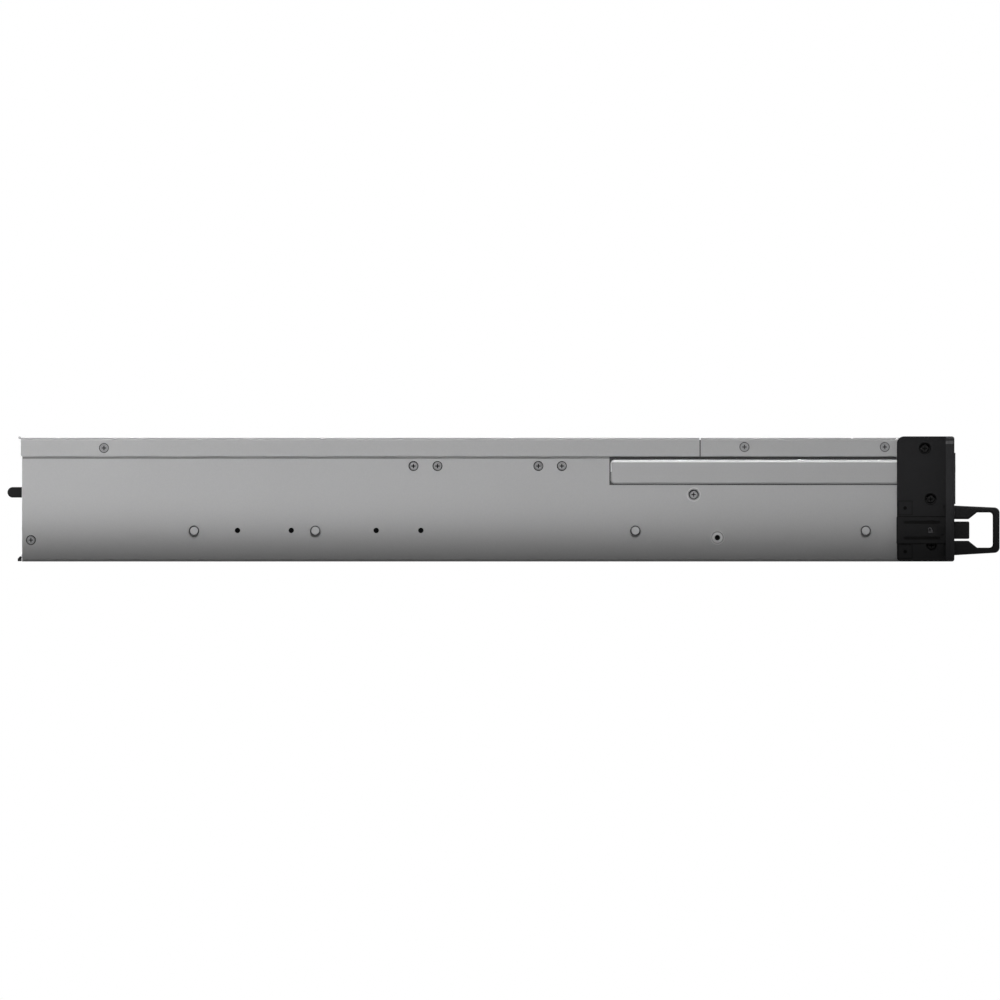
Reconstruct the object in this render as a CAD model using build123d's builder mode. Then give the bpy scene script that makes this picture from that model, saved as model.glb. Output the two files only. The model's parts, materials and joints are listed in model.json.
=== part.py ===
from build123d import *
import os
from math import radians, tan

os.makedirs("parts", exist_ok=True)

# Rack-mount storage server, two rack units high, in millimetres.
# The front faces -Y, +Z is up, and the origin lies under the middle of the whole object.

# Overall sizes
panel_width = 482.6
panel_height = 88.1
body_length = 656.1
handle_reach = 31.8
grip_reach = 10.3
chassis_width = 435.0
cover_top = 87.1

# Sheet metal
sheet = 1.2
bend_radius = 1.8
seat = 0.3
slide_gap = 0.3
touch_gap = 0.05

# Where the main faces lie
ear_face = handle_reach - (body_length + handle_reach + grip_reach) / 2
rear_face = ear_face + body_length
side = chassis_width / 2
inner_side = side - sheet

# Front ears
flange_depth = 6.1
flange_lap = 3.5
flange_inner = side - flange_lap
flange_corner = 3.3
flange_round = 1.8
ear_depth = 40.5
ear_thickness = 6.2
ear_top_corner = 5.0
ear_bottom_corner = 3.0
flange_back = ear_face + flange_depth
ear_back = ear_face + ear_depth
ear_inside = side + seat
ear_outside = ear_inside + ear_thickness
ear_floor = ear_inside + 1.0

# Chassis edges
lip_back = 1.8
front_lip = ear_face + lip_back
lip_half = flange_inner - seat
wall_front = flange_back + seat

# Covers
flange_height = 13.1
flange_line = 0.4
seam_from_face = 179.0
seam_gap = 0.8
front_flange_gap = 1.2
cover_overhang = 0.9
hem_radius = 0.9
seam_y = ear_face + seam_from_face
cover_under = cover_top - sheet
wall_top = cover_under - seat
flange_bottom = cover_top - flange_height
joggle = sheet + seat
step_top = flange_bottom - flange_line
step_bottom = step_top - joggle
upper_wall_inner = side - joggle - sheet

# Screws in the side, as distances behind the ear face and heights. The insets are
# distances in front of the rear face, and what they place stays with the rear of the body.
screw_radius = 1.5
head_radius = 3.0
head_height = 1.3
screw_length = 4.0
countersunk_length = 3.9
front_cover_screws_y = [49.0, 147.8]
front_cover_screws_z = 80.6
rear_cover_screw_inset = 57.6
rear_cover_screw_y = body_length - rear_cover_screw_inset
rear_cover_screw_z = 79.9
rear_bar_screw_insets = [292.3, 275.4]
bar_screws_y = [276.3, 292.8] + [body_length - inset for inset in rear_bar_screw_insets]
bar_screw_z = 67.2
rear_screw_inset = 6.2
rear_screw_y = body_length - rear_screw_inset
rear_screw_z = 15.1
dimple_screw_y = 183.5
dimple_screw_z = 47.1
dimple_hole_y = 166.8
dimple_hole_z = 16.8
dimple_hole_radius = 1.95
dimple_radius = 4.6
dimple_depth = 0.7
ear_screws_y = [20.8, 16.8, 16.2]
ear_screws_z = [79.7, 44.0, 11.3]
ear_recess_radius = 3.8

# Rail studs and rail screw holes in each side
rear_stud_insets = [206.3, 121.0]
stud_y = [62.4, 224.5] + [body_length - inset for inset in rear_stud_insets]
stud_z = 21.7
stud_neck_radius = 2.2
stud_head_radius = 3.6
stud_head_height = 1.7
stud_reach = 4.5
stud_chamfer = 0.85
rail_hole_insets = [280.6, 249.2, 189.4, 151.6]
rail_hole_y = [body_length - inset for inset in rail_hole_insets]
rail_hole_z = 21.9
rail_hole_radius = 1.9

# Raised cable channel on each side
channel_back_y = 242.1
channel_front_y = 27.0
channel_bottom = 54.5
channel_height = 17.2
channel_reach = 2.5
channel_corner = 3.2
channel_round = 1.6

# Drive bays
columns = 4
rows = 3
tray_width = 104.8
tray_height = 27.2
row_pitch = 27.6
first_row = 1.9
divider = 1.0
bay_width = tray_width + 2 * slide_gap
column_pitch = bay_width + divider
tray_front = ear_face + 0.8
bezel_depth = 11.0
bezel_back = tray_front + bezel_depth
drive_width = 101.6
drive_length = 147.0
drive_height = 26.1
drive_back = bezel_back + 1.5 + drive_length
rail_width = (tray_width - drive_width) / 2
rail_height = 20.0
rail_bottom = 2.6
ledge_height = 1.0
cage_top_sheet = 0.7
window_inset = 12.0
window_frame = 8.0
window_corner = 3.0
cage_front = ear_face + 2.8
backplane_y = drive_back + 9.0
backplane_sheet = 2.0
cage_back = backplane_y - seat

# Tray levers
pocket_depth = 6.6
pocket_rim = 1.8
lever_gap = 0.4
lever_thickness = 4.2
lever_pin_radius = 1.2
lever_barrel = 2.3

# Details of the drive cage, the backplane and the trays
window_length = 64.0
ledge_width = 1.6
ledge_inset = 2.0
ledge_start = 1.0
row_gap = row_pitch - tray_height
connector_width = 44.0
connector_height = 6.0
connector_z = 6.0
connector_inset = 20.0
connector_depth = 5.0
air_slot_rise = 11.0
air_slot_length = 84.0
air_slot_height = 9.0
air_pitch = 9.0
air_bar = 1.8
air_corner = 1.5
rail_lead = 3.0
air_openings = 10
lever_openings = 8
rail_length = drive_length + 4.0
drive_bottom = 0.8
drive_lid = 0.8
drive_rim = 2.5
tray_catch_width = 6.6
finger_room = 10.0
finger_radius = 4.2
lever_pivot_x = -(tray_width / 2 - pocket_rim - lever_gap - lever_barrel)
lever_pivot_y = tray_front + lever_gap + lever_barrel

# Details of the fans
fan_base = 2 * sheet + seat
fan_margin = 22.0
fan_cage_height = 76.0
fan_corner = 5.0
fan_flange = 5.0
fan_tube = 1.2
fan_hub_radius = 17.0
fan_struts = 4
fan_strut = 4.0
fan_seat = 5.0
fan_hole_pitch = 71.5
fan_hole_radius = 2.2
fan_post = 8.0
fan_blades = 7
fan_blade_turns = (48, 30)
blade_root = 1.5
blade_share = 0.9
psu_fan_blades = 5
psu_blade_turns = (48, 32)
fan_wheel_depth = 24.0
fan_wheel_gap = 0.6
blade_thickness = 1.4
blade_clearance = 1.0
cable_gap_width = 26.0
cable_gap_depth = 22.0

# Cross bars over the main board
bar_top = 71.0
bar_depth = 9.0
bar_width = 26.0

# Details of the main board
vent_middle = -10.0
standoff_radius = 3.0
standoff_inset = 6.0
processor_socket = (60.0, 56.0)
memory_socket_width = 6.5
memory_socket_spare = 4.0
memory_chip_thickness = 1.0
memory_chip_height = 15.5
memory_chip_rise = 9.3
memory_chip_inset = 4.0
card_slot = (7.5, 89.0)
card_slot_shift = 3.0
card_slot_inset = 60.0
card_slot_height = 11.0
chipset_cooler = 38.0
chipset_inset = 75.0
processor_x = [-20.0, 112.0]
processor_inset = 198.8
processor_y = rear_face - processor_inset
socket_rise = 8.0
memory_x = [-84.0, -74.5, 30.0, 39.5, 52.0, 61.5, 162.0, 171.5]
memory_length = 133.4
memory_height = 31.0
memory_sheet = 1.4
memory_groove = 4.0
memory_socket_height = 6.5
card_x = [112.0 + 20.3 * i for i in range(5)]
cooler_width = 78.0
cooler_length = 92.0
cooler_base = 4.0
cooler_height = 46.0
cooler_fins = 19
cooler_fin = 0.9

# Details of the power supplies
bay_depth_spare = 6.0
foot_width = 8.0
foot_short = 30.0
psu_fan_size = 42.0
psu_fan_bore = 18.5
psu_fan_depth = 24.0
psu_fan_inset = 24.0
guard_rings = [6.0, 12.0]
guard_wire = 1.4
psu_shaft_radius = 1.5
psu_shaft_length = 5.0
psu_hub_radius = 7.5
psu_wheel_depth = 12.0
inlet_rise = 22.0
inlet_width = 24.6
inlet_height = 16.6
inlet_depth = 15.0
inlet_pin_depth = 5.0
inlet_wall = 2.0
inlet_corner = 4.0
inlet_pin = (2.0, 4.0)
inlet_pin_spread = 7.0
inlet_pin_drop = 2.0
psu_fan_corner = 3.0
psu_vents = 7
psu_vent_pitch = 6.0
psu_vent_width = 3.0
psu_vent_margin = 12.0
catch_slot_spare = 1.0
grip_width = 44.0
grip_post = 5.0
grip_room = 6.0
catch_x = 12.0
catch_low = 0.2
catch_height = 3.5
catch_reach = 3.1
catch_width = 14.0
catch_stem_width = 8.0
catch_stem_height = 2.2
catch_stem_depth = 6.0
catch_travel = 2.5

# Details of the rear panel: each socket's middle, width and height
io_margin = 4.0
io_plate_low = 6.0
io_plate_height = 22.0
io_plate_sheet = 0.8
rear_sockets = [(-82, 16, 13.5), (-63, 16, 13.5), (-40, 13.2, 15.6), (-14, 31, 12.5), (20, 16, 13.5)]
socket_length = 18.0
socket_wall = 1.0
card_low = 15.0
card_height = 62.0
card_opening = 12.5
card_cover = 18.4
card_tab = 10.0
card_lap = 4.0
card_slots = 6
card_slot_gap = 1.5
card_slot_opening = 4.0
vent_z = 58.0
vent_radius = 3.4
vent_pitch_x = 8.0
vent_pitch_z = 8.0
vent_columns = 18
vent_rows = 5

# Cover details
flange_corner_round = 1.1
tongue_length = 6.0
tongue_sheet = 1.0
rib_width = 9.0
rib_depth = 0.5
rib_margin = 60.0
recess_width = 0.8
recess_depth = 0.8

# Latch that holds the ear to the rack, on the outside of each ear
latch_z = 22.05
latch_height = 18.5
latch_gap = 0.5
latch_thickness = 2.6
latch_pivot_y = 37.3
latch_pivot_reach = 4.1
latch_pin_radius = 0.9
latch_barrel_radius = 1.9
latch_groove = 2.2
latch_groove_spacing = 11.1
latch_hook_reach = 1.6
latch_block_height = 12.3
latch_block_depth = 10.0
latch_block_width = 12.0
latch_pin_length = 25.0
slot_behind_flange = 1.6
groove_middle_y = 22.75
groove_length = 25.7
groove_depth = 0.8
hook_height = 6.0
hook_length = 5.0
pad_holes_z = [37.7, 7.0]
pad_size = 9.9
pad_depth = 0.5
pad_hole_inset = 5.8
pad_hole_radius = 1.2

# Handle: outline seen from the side
handle_width = 11.0
handle_standoff = 7.0
handle_centre_x = ear_outside + handle_standoff
handle_root_top = 39.4
handle_root_bottom = 4.4
handle_tip_top = 37.9
handle_tip_bottom = 6.3
handle_root_length = 9.9
handle_slope_length = 6.0
handle_arm_top = 29.8
handle_arm_bottom = 14.6
handle_loop_top = 34.5
handle_loop_bottom = 9.8
handle_bar = 4.9
handle_corner = 3.8
handle_inner_corner = 2.4
handle_edge_round = 1.6

# Control panel and rack slots on the ears
panel_low = 40.5
panel_high = 76.5
panel_reach = 0.7
panel_standoff = 5.0
panel_middle_x = ear_outside + panel_standoff
panel_face_width = 20.0
button_z = 65.0
button_radius = 4.8
button_stem_radius = 2.4
button_depth = 3.2
button_travel = 1.0
lamp_radius = 0.8
lamp_pitch = 5.0
socket_width = 13.0
socket_height = 5.4
socket_depth = 5.5
rack_slot_x = 465.1 / 2
rack_slot_z = 82.15
rack_slot_length = 10.3
rack_slot_radius = 3.4

# Fans behind the drives
fan_count = 3
fan_size = 80.0
fan_depth = 38.0
fan_pitch = 130.0
fan_bore = 38.0
fan_front_y = 218.6
fan_shaft_radius = 1.5

# Main board
board_left = -92.0
board_width = 305.0
board_length = 329.0
board_back_gap = 4.8
board_front_y = body_length - board_back_gap - board_length
board_sheet = 1.6
board_height = 6.5
board_bottom = sheet + board_height
board_top = board_bottom + board_sheet

# Power supplies
psu_width = 54.0
psu_height = 82.0
psu_length = 220.0
psu_wall = 1.0
psu_gap = 0.4
bay_divider = 0.8
psu_count = 2
grip_height = 7.4
grip_centre_z = 48.7
psu_bottom = sheet + slide_gap
psu_centres = [
    -(side - screw_length - seat - psu_width / 2) + i * (psu_width + bay_divider + 2 * psu_gap)
    for i in range(psu_count)
]
power_bay_edge = psu_centres[-1] + psu_width / 2 + psu_gap


def write(part, name):
    part.label = name
    export_step(part, f"parts/{name}.step")


def from_face(distance):
    """Y of a point that lies this far behind the ear face."""
    return ear_face + distance


# Chassis: floor and side walls bent from one sheet
with BuildPart() as chassis_tray:
    bend_shift = sheet * tan(radians(22.5))
    with BuildSketch(Plane.XZ.offset(-rear_face)):
        with BuildLine():
            Polyline(
                (0, 0),
                (side, 0),
                (side, step_bottom),
                (side - joggle, step_top),
                (side - joggle, wall_top),
                (upper_wall_inner, wall_top),
                (upper_wall_inner, step_top - bend_shift),
                (inner_side, step_bottom - bend_shift),
                (inner_side, sheet),
                (0, sheet),
                close=True,
            )
        make_face()
        fillet(vertices().group_by(Axis.Y)[0].sort_by(Axis.X)[-1], bend_radius)
        fillet(vertices().group_by(Axis.Y)[2].sort_by(Axis.X)[-1], bend_radius - sheet)
    extrude(amount=rear_face - front_lip)
    # The walls stop behind the ear, and only the floor runs on between the ears
    with BuildSketch(Plane.XY):
        with Locations((lip_half, front_lip - 1)):
            Rectangle(side, wall_front - front_lip + 1, align=(Align.MIN, Align.MIN))
    extrude(amount=panel_height, mode=Mode.SUBTRACT)
    # Raised channel for the front panel cable
    channel_length = channel_back_y - channel_front_y
    channel_middle = (
        from_face((channel_back_y + channel_front_y) / 2),
        channel_bottom + channel_height / 2,
    )
    with BuildSketch(Plane.YZ.offset(side)):
        with Locations(channel_middle):
            RectangleRounded(channel_length, channel_height, channel_corner)
    extrude(amount=channel_reach)
    fillet(faces().sort_by(Axis.X)[-1].edges(), channel_round)
    with BuildSketch(Plane.YZ.offset(side + channel_reach - sheet)):
        with Locations(channel_middle):
            RectangleRounded(
                channel_length - 2 * sheet, channel_height - 2 * sheet, channel_corner - sheet
            )
    extrude(amount=-channel_reach - 1, mode=Mode.SUBTRACT)
    # Dimples pressed inwards, as thick as the sheet
    dimples = [
        (from_face(dimple_screw_y), dimple_screw_z),
        (from_face(dimple_hole_y), dimple_hole_z),
    ]
    with BuildSketch(Plane.YZ.offset(inner_side)):
        with Locations(*dimples):
            Circle(dimple_radius)
    extrude(amount=-dimple_depth)
    with BuildSketch(Plane.YZ.offset(side)):
        with Locations(*dimples):
            Circle(dimple_radius)
    extrude(amount=-dimple_depth, taper=35, mode=Mode.SUBTRACT)
    # Holes through the wall for screws, studs and rail screws
    with BuildSketch(Plane.YZ.offset(side + 1)):
        with Locations(*[(from_face(y), bar_screw_z) for y in bar_screws_y]):
            Circle(screw_radius + touch_gap)
        with Locations(*[(from_face(y), z) for y, z in zip(ear_screws_y, ear_screws_z)]):
            Circle(screw_radius + touch_gap)
        with Locations(
            (from_face(rear_screw_y), rear_screw_z),
            (from_face(dimple_screw_y), dimple_screw_z),
        ):
            Circle(screw_radius + touch_gap)
        with Locations(*[(from_face(y), front_cover_screws_z) for y in front_cover_screws_y]):
            Circle(screw_radius + touch_gap)
        with Locations(*[(from_face(y), stud_z) for y in stud_y]):
            Circle(stud_neck_radius + touch_gap)
        with Locations(*[(from_face(y), rail_hole_z) for y in rail_hole_y]):
            Circle(rail_hole_radius)
        with Locations((from_face(dimple_hole_y), dimple_hole_z)):
            Circle(dimple_hole_radius)
        # The rear cover lifts with its screws, so their notch is open at the top
        with Locations((from_face(rear_cover_screw_y), rear_cover_screw_z)):
            Circle(screw_radius + slide_gap)
            Rectangle(
                2 * (screw_radius + slide_gap), panel_height, align=(Align.CENTER, Align.MIN)
            )
    extrude(amount=-2 * joggle - sheet, mode=Mode.SUBTRACT)
    mirror(about=Plane.YZ)
    # Standoffs under the main board
    with BuildSketch(Plane.XY.offset(sheet)):
        with Locations((board_left + board_width / 2, from_face(board_front_y + board_length / 2))):
            with GridLocations(
                board_width / 2 - 2 * standoff_inset, board_length / 2 - 2 * standoff_inset, 3, 3
            ):
                Circle(standoff_radius)
    extrude(amount=board_height)
write(chassis_tray.part, "chassis_tray")


# Section of both covers, from the middle to the side flange
with BuildSketch() as cover_section:
    with BuildLine():
        Polyline(
            (0, cover_top),
            (side, cover_top),
            (side, flange_bottom),
            (inner_side, flange_bottom),
            (inner_side, cover_under),
            (0, cover_under),
            close=True,
        )
    make_face()
    fillet(vertices().group_by(Axis.Y)[-1].sort_by(Axis.X)[-1], bend_radius)
    fillet(vertices().sort_by_distance((inner_side, cover_under))[0], bend_radius - sheet)


# Front cover: its flange ends behind the ear, its top runs on to the front lip
with BuildPart() as front_cover:
    with BuildSketch(Plane.XZ.offset(-(seam_y - seam_gap / 2))):
        add(cover_section.sketch)
    extrude(amount=seam_y - seam_gap / 2 - front_lip)
    flange_front = ear_back + front_flange_gap
    with BuildSketch(Plane.XY.offset(cover_under)):
        with Locations((upper_wall_inner, front_lip - 1)):
            Rectangle(side, flange_front - front_lip + 1, align=(Align.MIN, Align.MIN))
    extrude(amount=-panel_height, mode=Mode.SUBTRACT)
    with BuildSketch(Plane.XY.offset(0)):
        with Locations((lip_half, front_lip - 1)):
            Rectangle(side, wall_front - front_lip + 1, align=(Align.MIN, Align.MIN))
    extrude(amount=panel_height + 1, mode=Mode.SUBTRACT)
    fillet(
        edges().filter_by(Axis.X).filter_by_position(
            Axis.Z, flange_bottom - touch_gap, flange_bottom + touch_gap
        ),
        flange_corner_round,
    )
    # Tongue under the seam, on which the rear cover lies
    with BuildSketch(Plane.XY.offset(cover_under)):
        with Locations((0, seam_y - seam_gap / 2)):
            Rectangle(upper_wall_inner - seat, tongue_length, align=(Align.MIN, Align.MAX))
    extrude(amount=-seat - tongue_sheet)
    with BuildSketch(Plane.XY.offset(cover_under - seat)):
        with Locations((0, seam_y - seam_gap)):
            Rectangle(upper_wall_inner - seat, tongue_length, align=(Align.MIN, Align.MIN))
    extrude(amount=-tongue_sheet)
    for screw_y in front_cover_screws_y:
        with Locations(
            Plane(
                (side, from_face(screw_y), front_cover_screws_z), x_dir=(0, 1, 0), z_dir=(1, 0, 0)
            )
        ):
            CounterSinkHole(screw_radius + touch_gap, head_radius + touch_gap, sheet * 2)
    mirror(about=Plane.YZ)
write(front_cover.part, "front_cover")

# Rear cover: lifts off, with a rolled hem at the back and two pressed ribs on top
with BuildPart() as rear_cover:
    cover_back = rear_face + cover_overhang
    cover_length = cover_back - (seam_y + seam_gap / 2)
    with BuildSketch(Plane.XZ.offset(-cover_back)):
        add(cover_section.sketch)
    extrude(amount=cover_length)
    fillet(
        edges().filter_by(Axis.X).filter_by_position(
            Axis.Z, flange_bottom - touch_gap, flange_bottom + touch_gap
        ),
        flange_corner_round,
    )
    with BuildSketch(Plane.YZ):
        with Locations((cover_back + hem_radius - touch_gap, cover_top)):
            Circle(hem_radius)
        with Locations((cover_back - touch_gap, cover_top)):
            Rectangle(hem_radius, hem_radius, align=(Align.MIN, Align.MAX))
    extrude(amount=side - 2 * bend_radius)
    with Locations(
        Plane(
            (side, from_face(rear_cover_screw_y), rear_cover_screw_z),
            x_dir=(0, 1, 0),
            z_dir=(1, 0, 0),
        )
    ):
        CounterSinkHole(screw_radius + touch_gap, head_radius + touch_gap, sheet * 2)
    with BuildSketch(Plane.XY.offset(cover_top)):
        with Locations((side * 0.55, cover_back - cover_length / 2)):
            RectangleRounded(rib_width, cover_length - 2 * rib_margin, rib_width / 2 - touch_gap)
    extrude(amount=-rib_depth, mode=Mode.SUBTRACT)
    mirror(about=Plane.YZ)
write(rear_cover.part, "rear_cover")

# Countersunk screw, drawn with its flat head at the origin and its shank towards -Z
with BuildPart() as flat_screw:
    with BuildSketch(Plane.XZ):
        with BuildLine():
            Polyline(
                (0, 0),
                (head_radius, 0),
                (screw_radius, -(head_radius - screw_radius)),
                (screw_radius, -countersunk_length),
                (0, -countersunk_length),
                close=True,
            )
        make_face()
    revolve(axis=Axis.Z)
    with BuildSketch(Plane.XY):
        Rectangle(1.1 * head_radius, recess_width)
        Rectangle(recess_width, 1.1 * head_radius)
    extrude(amount=-recess_depth, mode=Mode.SUBTRACT)

# Pan head screw, drawn with the underside of its head at the origin
with BuildPart() as pan_screw:
    with BuildSketch(Plane.XZ):
        with BuildLine():
            Polyline(
                (0, head_height),
                (head_radius - head_height / 2, head_height),
                (head_radius, head_height / 2),
                (head_radius, 0),
                (screw_radius, 0),
                (screw_radius, -screw_length),
                (0, -screw_length),
                close=True,
            )
        make_face()
    revolve(axis=Axis.Z)
    with BuildSketch(Plane.XY.offset(head_height)):
        Rectangle(1.1 * head_radius, recess_width)
        Rectangle(recess_width, 1.1 * head_radius)
    extrude(amount=-recess_depth, mode=Mode.SUBTRACT)


def on_side(distance, height, reach=0.0):
    """Place on the right side wall, pointing outwards."""
    return Plane(
        (side + reach, from_face(distance), height), x_dir=(0, 1, 0), z_dir=(1, 0, 0)
    ).location


with BuildPart() as cover_screws:
    with Locations(*[on_side(y, front_cover_screws_z) for y in front_cover_screws_y]):
        add(flat_screw.part)
    mirror(about=Plane.YZ)
write(cover_screws.part, "cover_screws")

with BuildPart() as rear_cover_screws:
    with Locations(on_side(rear_cover_screw_y, rear_cover_screw_z)):
        add(flat_screw.part)
    mirror(about=Plane.YZ)
write(rear_cover_screws.part, "rear_cover_screws")

with BuildPart() as case_screws:
    with Locations(
        *[on_side(y, bar_screw_z) for y in bar_screws_y],
        on_side(rear_screw_y, rear_screw_z),
        on_side(dimple_screw_y, dimple_screw_z, -dimple_depth),
        *[on_side(y, z, ear_floor - side) for y, z in zip(ear_screws_y, ear_screws_z)],
    ):
        add(pan_screw.part)
    mirror(about=Plane.YZ)
write(case_screws.part, "case_screws")

# Shouldered studs that hook into the slide rails
with BuildPart() as rail_stud:
    with BuildSketch(Plane.XZ):
        with BuildLine():
            Polyline(
                (0, stud_reach),
                (stud_head_radius - stud_chamfer, stud_reach),
                (stud_head_radius, stud_reach - stud_chamfer),
                (stud_head_radius, stud_reach - stud_head_height - stud_chamfer),
                (stud_neck_radius, stud_reach - stud_head_height - stud_chamfer),
                (stud_neck_radius, -sheet - touch_gap),
                (stud_neck_radius - 1, -sheet - 1),
                (0, -sheet - 1),
                close=True,
            )
        make_face()
    revolve(axis=Axis.Z)
with BuildPart() as rail_studs:
    with Locations(*[on_side(y, stud_z) for y in stud_y]):
        add(rail_stud.part)
    mirror(about=Plane.YZ)
write(rail_studs.part, "rail_studs")

# Front ear: moulded housing beside the chassis, and the flange that meets the rack
def ear_body():
    """The right ear without its control panel."""
    with BuildPart() as ear:
        with BuildSketch(Plane.YZ.offset(ear_inside)):
            with Locations((ear_back, 0)):
                Rectangle(ear_depth - flange_depth, panel_height, align=(Align.MAX, Align.MIN))
            fillet(vertices().group_by(Axis.X)[-1].sort_by(Axis.Y)[0], ear_bottom_corner)
            fillet(vertices().sort_by(Axis.X)[-1], ear_top_corner)
        extrude(amount=ear_thickness)
        with BuildSketch(Plane.XZ.offset(-flange_back)):
            with Locations((flange_inner, 0)):
                Rectangle(
                    panel_width / 2 - flange_inner, panel_height, align=(Align.MIN, Align.MIN)
                )
            fillet(vertices().group_by(Axis.X)[-1], flange_corner)
        extrude(amount=flange_depth)
        fillet(
            faces().sort_by(Axis.Y)[0].edges().filter_by_position(
                Axis.X, flange_inner + 1, panel_width / 2
            ),
            flange_round,
        )
        # Pocket for the latch arm, and the window that it passes through
        with BuildSketch(Plane.YZ.offset(ear_floor)):
            with Locations((flange_back, latch_z)):
                Rectangle(ear_depth, latch_height + 2 * latch_gap, align=(Align.MIN, Align.CENTER))
        extrude(amount=ear_thickness, mode=Mode.SUBTRACT)
        with BuildSketch(Plane.XZ.offset(-flange_back)):
            with Locations((side, latch_z)):
                Rectangle(
                    ear_outside + latch_gap - side,
                    latch_height + 2 * latch_gap,
                    align=(Align.MIN, Align.CENTER),
                )
        extrude(amount=flange_depth, mode=Mode.SUBTRACT)
        # Slot behind the flange for the edge of the rack rail
        with BuildSketch(Plane.YZ.offset(ear_outside)):
            with Locations((flange_back, latch_z)):
                Rectangle(
                    slot_behind_flange,
                    handle_root_top - handle_root_bottom,
                    align=(Align.MIN, Align.CENTER),
                )
        extrude(amount=-ear_thickness / 2, mode=Mode.SUBTRACT)
        # Shallow pads with a hole, above and below the latch
        with BuildSketch(Plane.YZ.offset(ear_outside)):
            with Locations(*[(ear_back, z) for z in pad_holes_z]):
                Rectangle(pad_size, pad_size, align=(Align.MAX, Align.CENTER))
        extrude(amount=-pad_depth, mode=Mode.SUBTRACT)
        with BuildSketch(Plane.YZ.offset(ear_outside)):
            with Locations(*[(ear_back - pad_hole_inset, z) for z in pad_holes_z]):
                Circle(pad_hole_radius)
        extrude(amount=-ear_thickness / 2, mode=Mode.SUBTRACT)
        # Recesses for the screws into the chassis
        ear_points = [(from_face(y), z) for y, z in zip(ear_screws_y, ear_screws_z)]
        with BuildSketch(Plane.YZ.offset(ear_floor)):
            with Locations(*ear_points):
                Circle(ear_recess_radius)
        extrude(amount=ear_thickness, mode=Mode.SUBTRACT)
        with BuildSketch(Plane.YZ.offset(ear_floor)):
            with Locations(*ear_points):
                Circle(screw_radius + touch_gap)
        extrude(amount=-ear_thickness, mode=Mode.SUBTRACT)
        # Hole for the latch pin, through both walls of the pocket
        with BuildSketch(Plane.XY.offset(latch_z - latch_pin_length / 2)):
            with Locations((ear_inside + latch_pivot_reach, ear_face + latch_pivot_y)):
                Circle(latch_pin_radius)
        extrude(amount=latch_pin_length, mode=Mode.SUBTRACT)
        # Duct for the raised channel and its cable
        with BuildSketch(Plane.YZ.offset(ear_inside)):
            with Locations((ear_back, channel_bottom + channel_height / 2)):
                Rectangle(
                    ear_back - from_face(channel_front_y) + latch_gap,
                    channel_height + 2 * latch_gap,
                    align=(Align.MAX, Align.CENTER),
                )
        extrude(amount=channel_reach + latch_gap - seat, mode=Mode.SUBTRACT)
        with BuildSketch(Plane.XZ.offset(-flange_back)):
            with Locations((rack_slot_x, rack_slot_z)):
                SlotOverall(rack_slot_length, 2 * rack_slot_radius)
        extrude(amount=flange_depth, mode=Mode.SUBTRACT)
        # Raised face of the control panel
        with BuildSketch(Plane.XZ.offset(-ear_face)):
            with Locations((panel_middle_x, (panel_low + panel_high) / 2)):
                RectangleRounded(panel_face_width, panel_high - panel_low, 2)
        extrude(amount=panel_reach)
    return ear.part


# The left ear carries the power button and its lamps
with BuildPart() as ear_left:
    add(mirror(ear_body(), about=Plane.YZ))
    with BuildSketch(Plane.XZ.offset(-ear_face + panel_reach)):
        with Locations((-panel_middle_x, button_z)):
            Circle(button_radius + seat)
    extrude(amount=-button_depth - button_travel - seat, mode=Mode.SUBTRACT)
    with BuildSketch(Plane.XZ.offset(-ear_face)):
        with Locations((-panel_middle_x, button_z)):
            Circle(button_stem_radius + touch_gap)
    extrude(amount=-flange_depth, mode=Mode.SUBTRACT)
    with BuildSketch(Plane.XZ.offset(-ear_face + panel_reach)):
        with Locations((-panel_middle_x, (panel_low + button_z - button_radius) / 2)):
            with GridLocations(1, lamp_pitch, 1, 3):
                Circle(lamp_radius)
    extrude(amount=-panel_reach, mode=Mode.SUBTRACT)
write(ear_left.part, "ear_left")

# The right ear carries a service socket
with BuildPart() as ear_right:
    add(ear_body())
    with BuildSketch(Plane.XZ.offset(-ear_face + panel_reach)):
        with Locations((panel_middle_x, (panel_low + panel_high) / 2)):
            Rectangle(socket_height, socket_width)
    extrude(amount=-socket_depth, mode=Mode.SUBTRACT)
write(ear_right.part, "ear_right")

with BuildPart() as power_button:
    with BuildSketch(Plane.XZ.offset(-ear_face + panel_reach)):
        with Locations((-panel_middle_x, button_z)):
            Circle(button_radius)
    extrude(amount=-button_depth)
    chamfer(faces().sort_by(Axis.Y)[0].edges(), 0.5)
    with BuildSketch(Plane.XZ.offset(-ear_face + panel_reach - button_depth)):
        with Locations((-panel_middle_x, button_z)):
            Circle(button_stem_radius)
    extrude(amount=-(flange_depth + panel_reach - button_depth - button_travel))
write(power_button.part, "power_button")

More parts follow.
